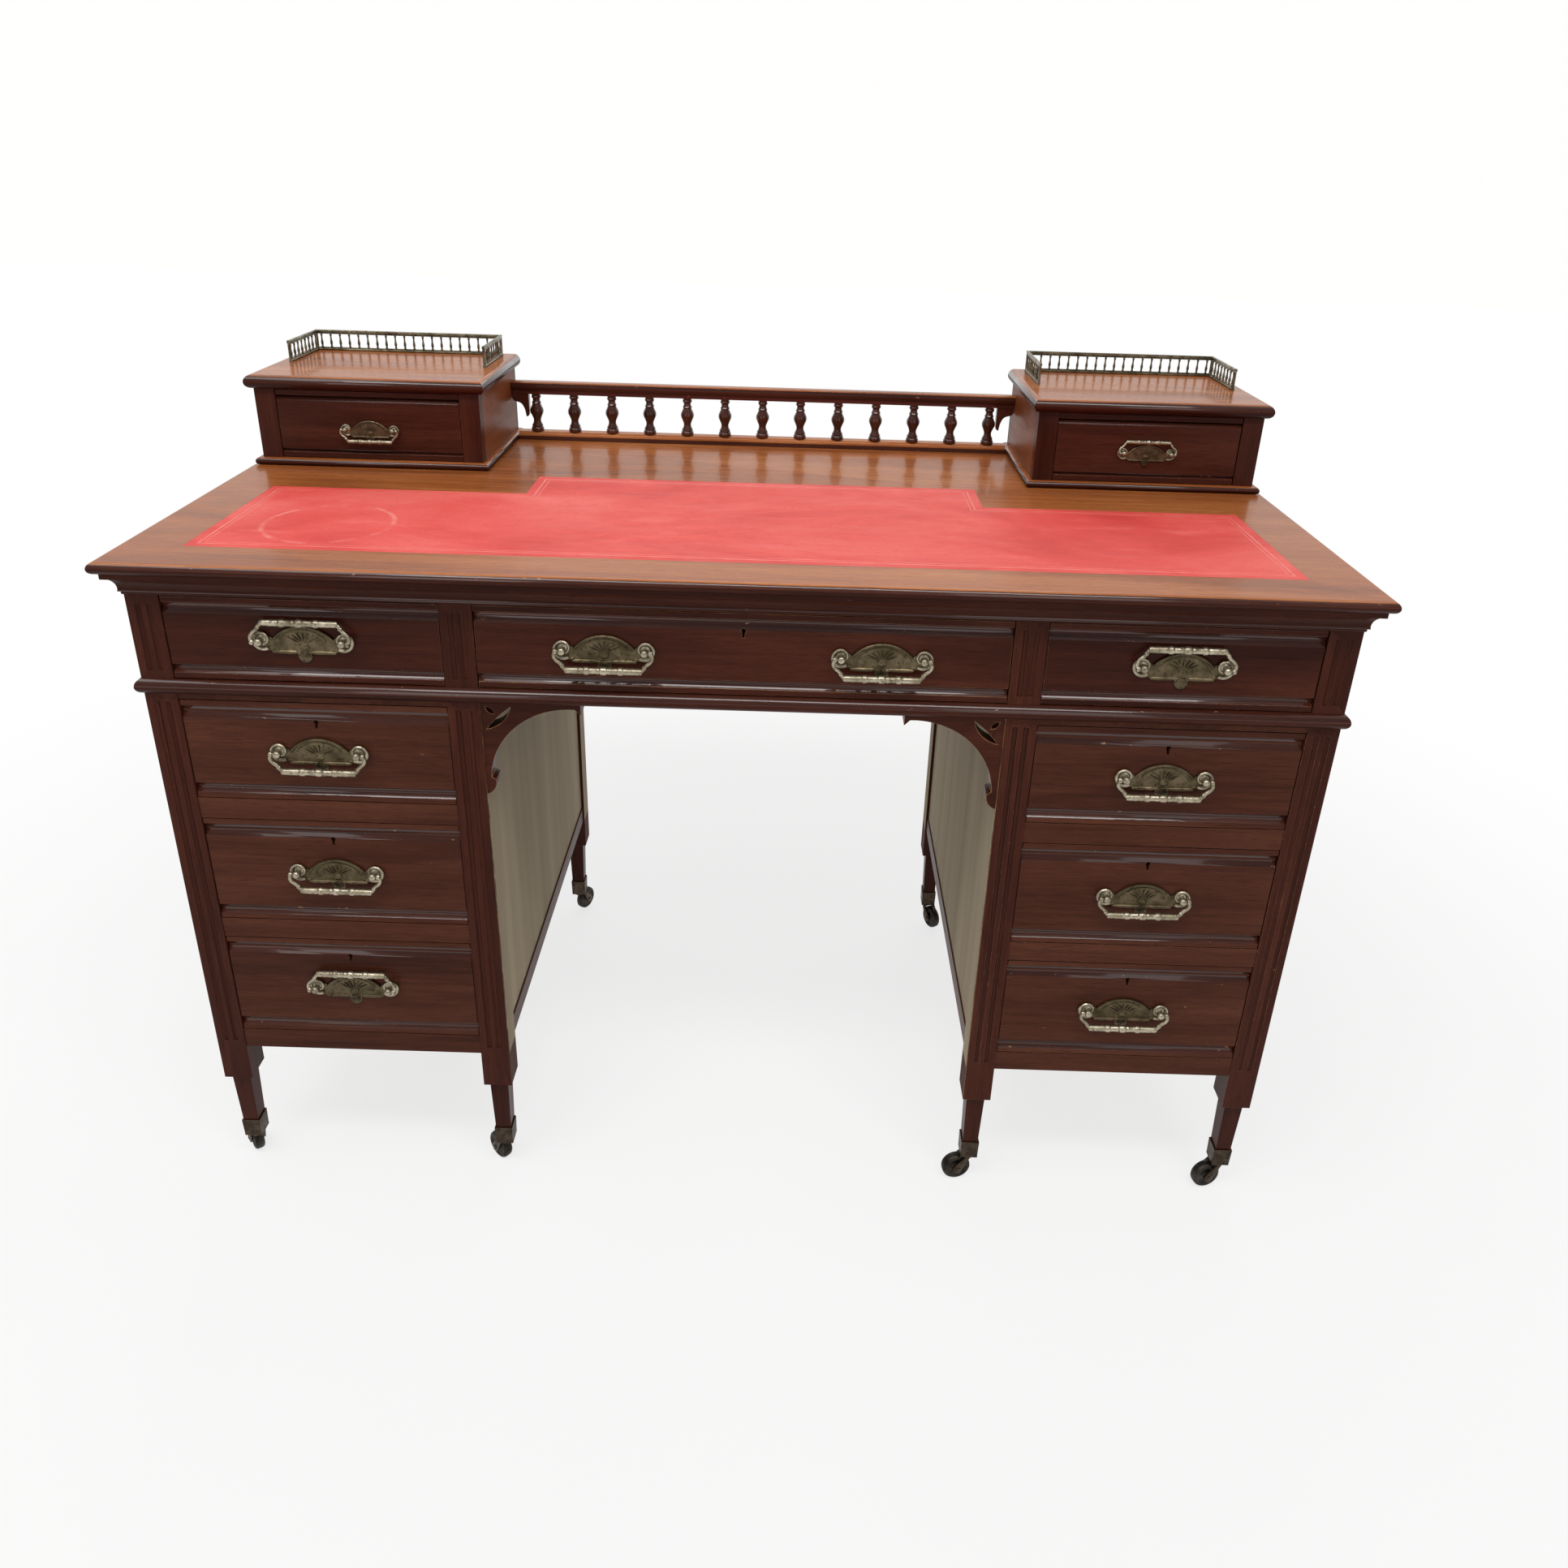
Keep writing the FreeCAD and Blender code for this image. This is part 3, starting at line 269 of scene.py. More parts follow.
class Piece:
    """A mesh gathered in millimetres, which is then linked and rides on a body."""

    def __init__(self, *materials):
        self.mesh = bmesh.new()
        self.materials = materials

    def face(self, corners, slot):
        made = self.mesh.faces.new(corners)
        made.material_index = slot
        made.smooth = True

    def skin(self, rings, slot=0):
        """Closed skin over rings of points, each with as many points as the next."""
        rows = [[self.mesh.verts.new(point) for point in ring] for ring in rings]
        count = len(rows[0])
        for low, high in zip(rows, rows[1:]):
            for step in range(count):
                after = (step + 1) % count
                self.face((low[step], low[after], high[after], high[step]), slot)
        self.face(rows[0], slot)
        self.face(rows[-1], slot)

    def lathe(self, profile, origin, axis, slot=0, steps=20):
        """Turned shape from points of distance along the axis and radius."""
        axis = Vector(axis).normalized()
        across = axis.orthogonal().normalized()
        wheel = spokes(across, axis.cross(across), steps)
        start = Vector(origin)
        self.skin([[start + axis * distance + spoke * radius for spoke in wheel]
                   for distance, radius in profile], slot)

    def tube(self, points, radii, slot=0, sides=10):
        """Round bar through points, with a radius for each."""
        points = [Vector(point) for point in points]
        across = (points[1] - points[0]).normalized().orthogonal().normalized()
        rings = []
        for index, (point, radius) in enumerate(zip(points, radii)):
            before = points[max(index - 1, 0)]
            after = points[min(index + 1, len(points) - 1)]
            tangent = (after - before).normalized()
            across = (across - tangent * across.dot(tangent)).normalized()
            wheel = spokes(across, tangent.cross(across), sides)
            rings.append([point + spoke * radius for spoke in wheel])
        self.skin(rings, slot)

    def bar(self, outline, start, end, place, slot=0):
        """Prism of an outline between two depths."""
        self.skin([[place(u, v, depth) for u, v in outline] for depth in (start, end)], slot)

    def boss(self, outline, base, height, place, rings=5):
        """Raised form that swells from an outline to its middle."""
        middle_u = sum(u for u, v in outline) / len(outline)
        middle_v = sum(v for u, v in outline) / len(outline)
        rows = [[place(u, v, base) for u, v in outline]]
        for ring in range(rings + 1):
            turn = math.pi / 2 * ring / rings
            share = max(math.cos(turn), BOSS_TIP)
            level = base + height * (BOSS_WALL + (1 - BOSS_WALL) * math.sin(turn))
            rows.append([place(middle_u + (u - middle_u) * share,
                               middle_v + (v - middle_v) * share, level) for u, v in outline])
        self.skin(rows)

    def block(self, low, high, slot):
        outline = [(low[0], low[1]), (high[0], low[1]), (high[0], high[1]), (low[0], high[1])]
        self.bar(outline, low[2], high[2], lambda x, y, z: (x, y, z), slot)

    def done(self, name, body, replaced=(), sharp=38):
        """Link the piece, and say what it rides on, the angle past which its edges are sharp, and
        what it replaces.
        """
        bmesh.ops.recalc_face_normals(self.mesh, faces=self.mesh.faces)
        bmesh.ops.scale(self.mesh, vec=Vector((MM, MM, MM)), verts=self.mesh.verts)
        made = add_mesh(name, self.mesh, self.materials)
        made.data.set_sharp_from_angle(angle=math.radians(sharp))
        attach(made, body)
        if replaced:
            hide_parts(*replaced)


def soften(made, width):
    """Eased edges, as handled wood and brass have."""
    bevel = made.modifiers.new("eased_edges", "BEVEL")
    bevel.width = width * MM
    bevel.segments = 2
    bevel.limit_method = "ANGLE"
    bevel.angle_limit = EASED_ANGLE
    return bevel


def smooth_line(points, steps):
    """Points of a smooth curve through the given ones."""
    count = len(points)
    line = []
    for index in range(count - 1):
        p0 = Vector(points[max(index - 1, 0)])
        p1 = Vector(points[index])
        p2 = Vector(points[index + 1])
        p3 = Vector(points[min(index + 2, count - 1)])
        for step in range(steps):
            t = step / steps
            line.append(0.5 * (2 * p1 + (p2 - p0) * t + (2 * p0 - 5 * p1 + 4 * p2 - p3) * t ** 2
                               + (3 * p1 - p0 - 3 * p2 + p3) * t ** 3))
    line.append(Vector(points[-1]))
    return line


def smooth_outline(points, steps):
    """The same in two dimensions."""
    return [(point.x, point.y) for point in smooth_line([(u, v, 0) for u, v in points], steps)]


def arc(centre, radius, start, end, steps):
    """Points on a circle between two angles in degrees."""
    angles = [math.radians(start + (end - start) * step / steps) for step in range(steps + 1)]
    return [(centre[0] + radius * math.cos(angle), centre[1] + radius * math.sin(angle))
            for angle in angles]


def corners(points):
    """Lowest and highest corners, in millimetres, of points in metres."""
    low = Vector([min(point[axis] for point in points) for axis in range(3)]) / MM
    high = Vector([max(point[axis] for point in points) for axis in range(3)]) / MM
    return low, high


def node_corners(node):
    return [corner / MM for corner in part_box(node)]


def half_corners(node, side):
    """Corners of the part of a node on one side of the middle."""
    vertices = frame["nodes"][node].data.vertices
    return corners([vertex.co for vertex in vertices if vertex.co.x * side > 0])


class Nodes:
    """A node tree, with short calls to add nodes and join them."""

    def __init__(self, tree):
        self.tree = tree

    def join(self, socket, value):
        if isinstance(value, bpy.types.NodeSocket):
            self.tree.links.new(value, socket)
        else:
            socket.default_value = (*value, 1.0) if socket.type == "RGBA" else value

    def node(self, kind, inputs=(), **settings):
        made = self.tree.nodes.new("ShaderNode" + kind)
        for name, value in settings.items():
            setattr(made, name, value)
        for socket, value in dict(inputs).items():
            self.join(made.inputs[socket], value)
        return made

    def maths(self, operation, first, second=0.0):
        return self.node("Math", {0: first, 1: second}, operation=operation).outputs["Value"]

    def vectors(self, operation, first, second=(0.0, 0.0, 0.0), result="Vector"):
        made = self.node("VectorMath", {0: first, 1: second}, operation=operation)
        return made.outputs[result]

    def weighted(self, *parts):
        """Sum of values, each times its weight."""
        total, *others = [self.maths("MULTIPLY", value, weight) for value, weight in parts]
        for other in others:
            total = self.maths("ADD", total, other)
        return total


class Shader(Nodes):
    """A material on a principled surface, with patterns laid out in the object's own space."""

    def __init__(self, name, **sockets):
        self.material = bpy.data.materials.new(name)
        self.material.use_nodes = True
        super().__init__(self.material.node_tree)
        self.surface = self.tree.nodes["Principled BSDF"]
        for socket, value in sockets.items():
            self.surface.inputs[socket.replace("_", " ")].default_value = value
        self.place = self.node("TexCoord").outputs["Object"]

    def coordinate(self, axis):
        return self.node("SeparateXYZ", {"Vector": self.place}).outputs[axis]

    def stretched(self, scale, place=None):
        inputs = {"Vector": place or self.place, "Scale": scale}
        return self.node("Mapping", inputs).outputs["Vector"]

    def noise(self, vector, scale=1.0, detail=4.0, roughness=0.55, distortion=0.0):
        inputs = {"Vector": vector, "Scale": scale, "Detail": detail,
                  "Roughness": roughness, "Distortion": distortion}
        return self.node("TexNoise", inputs).outputs["Fac"]

    def remap(self, value, low, high, to_low=0.0, to_high=1.0):
        """Smooth step from one range to another."""
        inputs = {"Value": value, "From Min": low, "From Max": high,
                  "To Min": to_low, "To Max": to_high}
        return self.node("MapRange", inputs, interpolation_type="SMOOTHSTEP").outputs["Result"]

    def blend(self, factor, first, second):
        """Mix of two colours, whose sockets come after those for numbers and vectors."""
        return self.node("Mix", {0: factor, 6: first, 7: second}, data_type="RGBA").outputs[2]

    def ramp(self, value, *stops):
        made = self.node("ValToRGB", {"Fac": value})
        elements = made.color_ramp.elements
        while len(elements) < len(stops):
            elements.new(0.5)
        for element, (position, colour) in zip(elements, stops):
            element.position = position
            element.color = (*colour, 1.0)
        return made.outputs["Color"]

    def finish(self, colour, roughness, height=None, bump=0.1, depth=0.4):
        self.join(self.surface.inputs["Base Color"], colour)
        self.join(self.surface.inputs["Roughness"], roughness)
        if height is not None:
            inputs = {"Height": height, "Strength": bump, "Distance": depth * MM}
            self.join(self.surface.inputs["Normal"], self.node("Bump", inputs).outputs["Normal"])
        return self.material


def along(axis, long, cross):
    """Texture scale that stretches a pattern along one axis."""
    scale = [cross, cross, cross]
    scale[axis] = long
    return scale


def wood(name, axis, tones, rough, shine, flecks):
    """Polished wood: figure, streaks and pores along one axis, and a tone for each board."""
    dark, middle, light = tones
    shader = Shader(name, Coat_Weight=shine, Coat_Roughness=0.08,
                    Specular_IOR_Level=0.04 + 0.2 * shine)
    board = shader.node("NewGeometry").outputs["Random Per Island"]
    shift = shader.node("VectorMath", {0: (3.1, 5.7, 4.3), "Scale": board}, operation="SCALE")
    place = shader.vectors("ADD", shader.place, shift.outputs["Vector"])

    def grain(long, cross, **settings):
        return shader.noise(shader.stretched(along(axis, long, cross), place), **settings)

    figure = grain(1.8, 13.0, detail=3.0, distortion=1.2)
    streaks = grain(6.0, 170.0, detail=6.0, roughness=0.68)
    pores = grain(55.0, 1500.0, detail=2.0)
    knocks = grain(60.0, 130.0, detail=3.0, roughness=0.7)
    tone = shader.weighted((figure, 0.55), (streaks, 0.35), (board, 0.10))
    colour = shader.ramp(tone, (0.29, dark), (0.50, middle), (0.72, light))
    colour = shader.blend(shader.remap(pores, 0.34, 0.50, 0.45, 0.0), colour, dark)
    worn = shader.remap(knocks, flecks, flecks + 0.05)
    colour = shader.blend(worn, colour, (0.34, 0.17, 0.085))
    roughness = shader.maths("ADD", shader.remap(streaks, 0.3, 0.7, rough, rough + 0.1),
                             shader.maths("MULTIPLY", worn, 0.25))
    height = shader.maths("ADD", shader.remap(pores, 0.34, 0.52),
                          shader.maths("MULTIPLY", streaks, 0.5))
    return shader.finish(colour, roughness, height, bump=0.08)


def three_ways(name, tones, **finish):
    """One wood with its grain along each axis in turn."""
    return [wood(name + "_" + "xyz"[axis], axis, tones, **finish) for axis in range(3)]


def rubbed_edge():
    """Arrises rubbed through the polish in patches, and almost bare round the kneehole."""
    shader = Shader("rubbed_edge", Specular_IOR_Level=0.3)
    patches = shader.noise(shader.place, scale=34.0, detail=6.0, roughness=0.7)
    specks = shader.noise(shader.place, scale=420.0, detail=3.0)
    colour = shader.ramp(patches, (0.46, (0.055, 0.016, 0.008)), (0.60, (0.13, 0.046, 0.020)),
                         (0.74, (0.33, 0.17, 0.085)))
    pale = shader.remap(specks, 0.62, 0.70, 0.0, 0.7)
    colour = shader.blend(pale, colour, (0.40, 0.24, 0.14))
    across = shader.maths("ABSOLUTE", shader.coordinate("X"))
    kneehole = shader.remap(across, KNEEHOLE_HALF * MM, (KNEEHOLE_HALF + 2.5) * MM, 1.0, 0.0)
    bare = shader.ramp(patches, (0.40, (0.14, 0.055, 0.020)), (0.62, (0.42, 0.23, 0.10)))
    colour = shader.blend(kneehole, colour, bare)
    return shader.finish(colour, shader.remap(patches, 0.4, 0.7, 0.30, 0.5), specks, bump=0.06)


def bare_panel():
    """Unpolished, greyed kneehole panel: upright streaks, painted shade darker towards the top,
    chipped in front.
    """
    shader = Shader("bare_panel", Specular_IOR_Level=0.2)
    streaks = shader.noise(shader.stretched((60.0, 22.0, 0.9)))
    fine = shader.noise(shader.stretched((500.0, 420.0, 9.0)))
    tone = shader.weighted((streaks, 0.6), (fine, 0.4))
    colour = shader.ramp(tone, (0.34, (0.27, 0.215, 0.138)), (0.5, (0.34, 0.275, 0.182)),
                         (0.66, (0.42, 0.345, 0.24)))
    height = shader.coordinate("Z")
    # Painted shade: darker towards the top of the panel, where the frieze shades it
    painted_shade = shader.maths("MULTIPLY", shader.remap(height, 0.44, 0.60), 0.5)
    colour = shader.blend(painted_shade, colour, (0.15, 0.115, 0.07))
    chips = shader.noise(shader.stretched((200.0, 200.0, 45.0)), detail=5.0, roughness=0.7)
    ragged = shader.remap(chips, 0.3, 0.7, -2.2 * MM, 2.2 * MM)
    edge = shader.maths("ADD", shader.coordinate("Y"), ragged)
    brown = shader.ramp(chips, (0.42, (0.075, 0.024, 0.010)), (0.58, (0.19, 0.082, 0.030)),
                        (0.70, (0.42, 0.24, 0.11)))
    front = shader.remap(edge, (CASE_FRONT + 2.2) * MM, (CASE_FRONT + 3.6) * MM, 1.0, 0.0)
    colour = shader.blend(front, colour, brown)
    foot = shader.remap(height, (LEG_TOP - 2.0) * MM, (LEG_TOP + 2.0) * MM, 1.0, 0.0)
    colour = shader.blend(foot, colour, (0.060, 0.017, 0.008))
    return shader.finish(colour, shader.remap(fine, 0.3, 0.7, 0.6, 0.8), fine, bump=0.2)


def lining_wood():
    """Plain pale wood of the drawer linings and runners."""
    shader = Shader("lining_wood", Specular_IOR_Level=0.3)
    streaks = shader.noise(shader.stretched((90.0, 4.0, 90.0)), detail=6.0, roughness=0.65)
    stains = shader.noise(shader.place, scale=6.0, detail=3.0)
    colour = shader.ramp(streaks, (0.3, (0.17, 0.095, 0.048)), (0.7, (0.36, 0.23, 0.125)))
    stained = shader.remap(stains, 0.55, 0.75, 0.0, 0.5)
    colour = shader.blend(stained, colour, (0.11, 0.06, 0.032))
    return shader.finish(colour, shader.remap(streaks, 0.3, 0.7, 0.5, 0.7), streaks, bump=0.2)


def leather():
    """Worn red leather: fine grain, rubbed patches, faint scuffs and the pale ring of a cup."""
    shader = Shader("red_leather", Specular_IOR_Level=0.2)
    grain = shader.node("TexVoronoi", {"Vector": shader.place, "Scale": 900.0}).outputs["Distance"]
    creases = shader.noise(shader.place, scale=260.0, detail=5.0, roughness=0.6)
    patches = shader.noise(shader.stretched((4.0, 7.0, 4.0)), detail=5.0, roughness=0.62,
                           distortion=0.6)
    rubbed = shader.noise(shader.stretched((9.0, 40.0, 9.0)), detail=6.0, roughness=0.7)
    colour = shader.ramp(patches, (0.36, (0.58, 0.048, 0.041)), (0.50, (0.68, 0.074, 0.061)),
                         (0.66, (0.74, 0.125, 0.104)))
    scuffs = shader.remap(rubbed, 0.54, 0.72, 0.0, 0.35)
    colour = shader.blend(scuffs, colour, (0.80, 0.22, 0.19))
    offset = shader.vectors("SUBTRACT", shader.place, RING_CENTRE)
    flat = shader.vectors("MULTIPLY", offset, (1.0, 1.0, 0.0))
    reach = shader.vectors("LENGTH", flat, result="Value")
    from_ring = shader.maths("ABSOLUTE", shader.maths("SUBTRACT", reach, RING_RADIUS))
    ring = shader.remap(from_ring, 0.0, RING_WIDTH, 1.0, 0.0)
    broken = shader.remap(shader.noise(shader.place, scale=30.0, detail=3.0), 0.38, 0.6)
    mark = shader.maths("MULTIPLY", shader.maths("MULTIPLY", ring, broken), 0.55)
    colour = shader.blend(mark, colour, (0.84, 0.31, 0.27))
    dirt = shader.remap(creases, 0.32, 0.5, 0.22, 0.0)
    colour = shader.blend(dirt, colour, (0.42, 0.035, 0.030))
    height = shader.maths("ADD", shader.maths("MULTIPLY", grain, 0.8), creases)
    return shader.finish(colour, shader.remap(rubbed, 0.35, 0.7, 0.46, 0.62), height, bump=0.14)


def tooled_line():
    """Pale blind-tooled line round the leather."""
    shader = Shader("tooled_line", Specular_IOR_Level=0.4)
    rubbed = shader.noise(shader.place, scale=60.0)
    colour = shader.ramp(rubbed, (0.35, (0.68, 0.080, 0.066)), (0.68, (0.75, 0.165, 0.125)))
    return shader.finish(colour, 0.42, rubbed)


def metal(name, bright, dull, stain, rough):
    """Old cast metal: bright where rubbed, dull between, dark stains and a fine cast skin."""
    shader = Shader(name, Metallic=1.0)
    cloud = shader.noise(shader.place, scale=70.0, detail=5.0, roughness=0.6)
    skin = shader.noise(shader.place, scale=1400.0, detail=3.0)
    spots = shader.noise(shader.place, scale=240.0, roughness=0.65)
    colour = shader.ramp(cloud, (0.34, dull), (0.64, bright))
    colour = shader.blend(shader.remap(spots, 0.52, 0.72, 0.0, 0.8), colour, stain)
    roughness = shader.maths("ADD", shader.remap(cloud, 0.3, 0.7, rough + 0.14, rough),
                             shader.remap(spots, 0.5, 0.7, 0.0, 0.18))
    return shader.finish(colour, roughness, skin, bump=0.12, depth=0.25)


# Dark, middle and light tones of each wood
FRONT_TONES = [(0.027, 0.0070, 0.0041), (0.077, 0.0235, 0.0125), (0.126, 0.0420, 0.0220)]
# Deep tones: a darker wood, and partly painted shade on the frieze, the box fronts and under the
# top's edge
DEEP_AND_SHADED_TONES = [(0.020, 0.0042, 0.0024), (0.053, 0.0132, 0.0072), (0.094, 0.0265, 0.0140)]
# Side tones: lighter wood, painted light on the boxes' sides that face each other
LIT_SIDE_TONES = [(0.100, 0.028, 0.010), (0.215, 0.066, 0.022), (0.310, 0.108, 0.038)]
TOP_TONES = [(0.140, 0.037, 0.011), (0.345, 0.104, 0.027), (0.480, 0.180, 0.060)]

MAHOGANY = three_ways("mahogany", FRONT_TONES, rough=0.30, shine=0.05, flecks=0.73)
DEEP_AND_SHADED = three_ways("deep_and_shaded_mahogany", DEEP_AND_SHADED_TONES, rough=0.28, shine=0.05, flecks=0.75)
# Polished mouldings share the deep tones: painted shade in the hollows, under a high polish
POLISHED = three_ways("polished_moulding", DEEP_AND_SHADED_TONES, rough=0.22, shine=0.7, flecks=0.68)
TOP_WOOD = wood("faded_mahogany", 0, TOP_TONES, rough=0.22, shine=0.22, flecks=0.80)
# Painted light on the boxes' inner sides
LIT_SIDE = wood("lit_side", 1, LIT_SIDE_TONES, rough=0.32, shine=0.05, flecks=0.80)
RUBBED = rubbed_edge()
BARE_PANEL = bare_panel()
LINING = lining_wood()
LEATHER = leather()
TOOLED = tooled_line()
# Name, bright, dull and stained colours, and roughness of each metal
BRASS, HANDLED, GILT, IRON, CUP_BRASS = [metal(*settings) for settings in (
    ("aged_brass", (0.152, 0.117, 0.068), (0.070, 0.053, 0.029), (0.025, 0.019, 0.011), 0.34),
    ("handled_brass", (0.52, 0.46, 0.345), (0.28, 0.235, 0.160), (0.07, 0.056, 0.036), 0.33),
    ("gallery_brass", (0.25, 0.22, 0.15), (0.09, 0.077, 0.050), (0.035, 0.03, 0.02), 0.26),
    ("dark_iron", (0.060, 0.052, 0.044), (0.024, 0.020, 0.017), (0.014, 0.011, 0.008), 0.45),
    ("castor_brass", (0.084, 0.060, 0.041), (0.037, 0.026, 0.018), (0.022, 0.016, 0.011), 0.38),
)]
# The three-way woods come first, so an index modulo 3 is the axis of the grain
PALETTE = MAHOGANY + DEEP_AND_SHADED + POLISHED + [TOP_WOOD, LIT_SIDE, BARE_PANEL, LINING, RUBBED]


def boards(mesh):
    """Polygons of each closed solid in turn, which follow one another in the mesh."""
    keys = [tuple(round(value * 1e5) for value in vertex.co) for vertex in mesh.vertices]
    open_edges = set()
    group = []
    for polygon in mesh.polygons:
        group.append(polygon)
        loop = [keys[index] for index in polygon.vertices]
        for start, end in zip(loop, loop[1:] + loop[:1]):
            if (end, start) in open_edges:
                open_edges.remove((end, start))
            else:
                open_edges.add((start, end))
        if not open_edges:
            yield group
            group = []
    if group:
        yield group


def grain_axis(size):
    return max(range(3), key=lambda axis: size[axis])


def dress_wood(node, choose, width=0.7, facing=UPWARD):
    """Give each board of a CAD node the wood that suits it, and ease and rub its edges."""
    made = frame["nodes"][node]
    mesh = made.data
    mesh.materials.clear()
    for material in PALETTE:
        mesh.materials.append(material)
    for group in boards(mesh):
        points = [mesh.vertices[index].co for polygon in group for index in polygon.vertices]
        index = PALETTE.index(choose(*corners(points)))
        for polygon in group:
            polygon.material_index = index
    polish_mouldings(mesh, facing)
    smooth_curves(mesh)
    tidy_facets(made)
    soften(made, width).material = PALETTE.index(RUBBED)


def sloping(polygon):
    return max(abs(value) for value in polygon.normal) < SQUARE


def polish_mouldings(mesh, facing):
    """Mouldings that run across, and face up at least so much, keep the polish lost on flats, and
    take the deep tones: painted shade in their hollows.
    """
    for polygon in mesh.polygons:
        normal = polygon.normal
        moulded = sloping(polygon) and abs(normal.x) < MOULDING_LEAN and normal.z > facing
        if moulded and PALETTE[polygon.material_index] in MAHOGANY + DEEP_AND_SHADED:
            polygon.material_index = PALETTE.index(POLISHED[polygon.material_index % 3])


def tidy_facets(made):
    """Join the facets of each flat face, so that only true edges are eased."""
    weld = made.modifiers.new("joined_corners", "WELD")
    weld.merge_threshold = WELD
    flats = made.modifiers.new("whole_faces", "DECIMATE")
    flats.decimate_type = "DISSOLVE"
    flats.angle_limit = FLAT_ANGLE
    flats.delimit = {"MATERIAL"}


def smooth_curves(mesh):
    """Smooth hollows and rounds; flat faces stay flat."""
    for polygon in mesh.polygons:
        polygon.use_smooth = sloping(polygon)


# Deep tones by the board's grain, partly painted shade on the frieze and the boxes
def deep_and_shaded_board(low, high):
    return DEEP_AND_SHADED[grain_axis(high - low)]


def top_board(low, high):
    size = high - low
    faded = size.x > TOP_LEAST_WIDTH and size.y > TOP_LEAST_DEPTH
    return TOP_WOOD if faded else deep_and_shaded_board(low, high)


def box_board(low, high):
    size = high - low
    faded = size.z < LID_MOST_HEIGHT and size.y > LID_LEAST_DEPTH
    return TOP_WOOD if faded else deep_and_shaded_board(low, high)


def pedestal_board(low, high):
    """Bare panels towards the kneehole, pale runners, deep posts and lighter rails."""
    size = high - low
    inner = min(abs(low.x), abs(high.x))
    upright = size.x < PANEL_MOST_WIDTH and size.z > PANEL_LEAST_HEIGHT
    if upright and inner < KNEEHOLE_REACH:
        return BARE_PANEL
    lying = size.z < RUNNER_MOST_HEIGHT and size.y > RUNNER_LEAST_DEPTH
    if lying and low.y > HIDDEN_FROM and inner > KNEEHOLE_REACH:
        return LINING
    axis = grain_axis(size)
    return (DEEP_AND_SHADED if axis == 2 else MAHOGANY)[axis]


def dark_edges(node):
    """The mouldings round the faded boards keep the dark polish of the fronts, in deep tones that
    are partly painted shade under the edge.
    """
    for polygon in frame["nodes"][node].data.polygons:
        normal = polygon.normal
        if polygon.material_index == PALETTE.index(TOP_WOOD) and normal.z < LEVEL:
            finish = POLISHED if normal.z > UPWARD else DEEP_AND_SHADED
            polygon.material_index = PALETTE.index(finish[1 if abs(normal.x) > SIDEWAYS else 0])


def lit_sides(node):
    """The sides of the boxes that face each other take a lighter wood, painted light that falls
    across the top between them.
    """
    for polygon in frame["nodes"][node].data.polygons:
        across = polygon.normal.x
        towards_middle = abs(across) > LEVEL and across * polygon.center.x < 0
        if towards_middle and polygon.area > LIT_SIDE_AREA:
            polygon.material_index = PALETTE.index(LIT_SIDE)


def bare_post_faces(node):
    """The posts are unpolished towards the kneehole, like the panel between them."""
    mesh = frame["nodes"][node].data
    inner = min(abs(vertex.co.x) for vertex in mesh.vertices)
    for polygon in mesh.polygons:
        reaches = [abs(mesh.vertices[index].co.x) for index in polygon.vertices]
        on_face = all(abs(reach - inner) < FLUSH for reach in reaches)
        if on_face and polygon.center.z > LEG_TOP * MM and polygon.area > BARE_AREA:
            polygon.material_index = PALETTE.index(BARE_PANEL)


def dress_carcass():
    dress_wood("writing_top", top_board)
    dark_edges("writing_top")
    # The frieze takes the deep tones: painted shade under the top's overhang
    dress_wood("frieze_case", deep_and_shaded_board)
    for side in SIDES:
        dress_wood(side + "_pedestal", pedestal_board, width=0.9)
        bare_post_faces(side + "_pedestal")
    dress_wood("top_box_cases", box_board)
    dark_edges("top_box_cases")
    lit_sides("top_box_cases")
    dress_wood("kneehole_brackets", lambda low, high: DEEP_AND_SHADED[0], width=0.9)


def dress_drawers():
    """Fronts, lighter in the pedestals and deep above them, on pale linings; the deep tone above is
    partly painted shade under the top and the lids.
    """
    for name in DRAWERS:
        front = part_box(name)[0].y / MM
        face = (MAHOGANY if name.startswith(tuple(SIDES)) else DEEP_AND_SHADED)[0]
        dress_wood(name, lambda low, high: face if low.y < front + 1 else LINING,
                   width=0.5, facing=-1.0)


def leather_top():
    """Stepped leather with tooled lines sunk a little way in from its edge."""
    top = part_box("leather_skiver")[1].z
    mesh = bmesh.new()
    mesh.from_mesh(frame["nodes"]["leather_skiver"].data)
    bmesh.ops.remove_doubles(mesh, verts=mesh.verts, dist=WELD)
    bmesh.ops.dissolve_limit(mesh, angle_limit=math.radians(1), verts=mesh.verts, edges=mesh.edges)
    upper = [face for face in mesh.faces if face.calc_center_median().z > top - FLUSH]
    for inset, drop, slot in TOOLING:
        step = bmesh.ops.inset_region(mesh, faces=upper, thickness=inset * MM, depth=drop * MM,
                                      use_even_offset=True)
        for face in step["faces"]:
            face.material_index = slot
    made = add_mesh("leather_writing_surface", mesh, [LEATHER, TOOLED])
    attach(made, "carcass")
    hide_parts("leather_skiver")


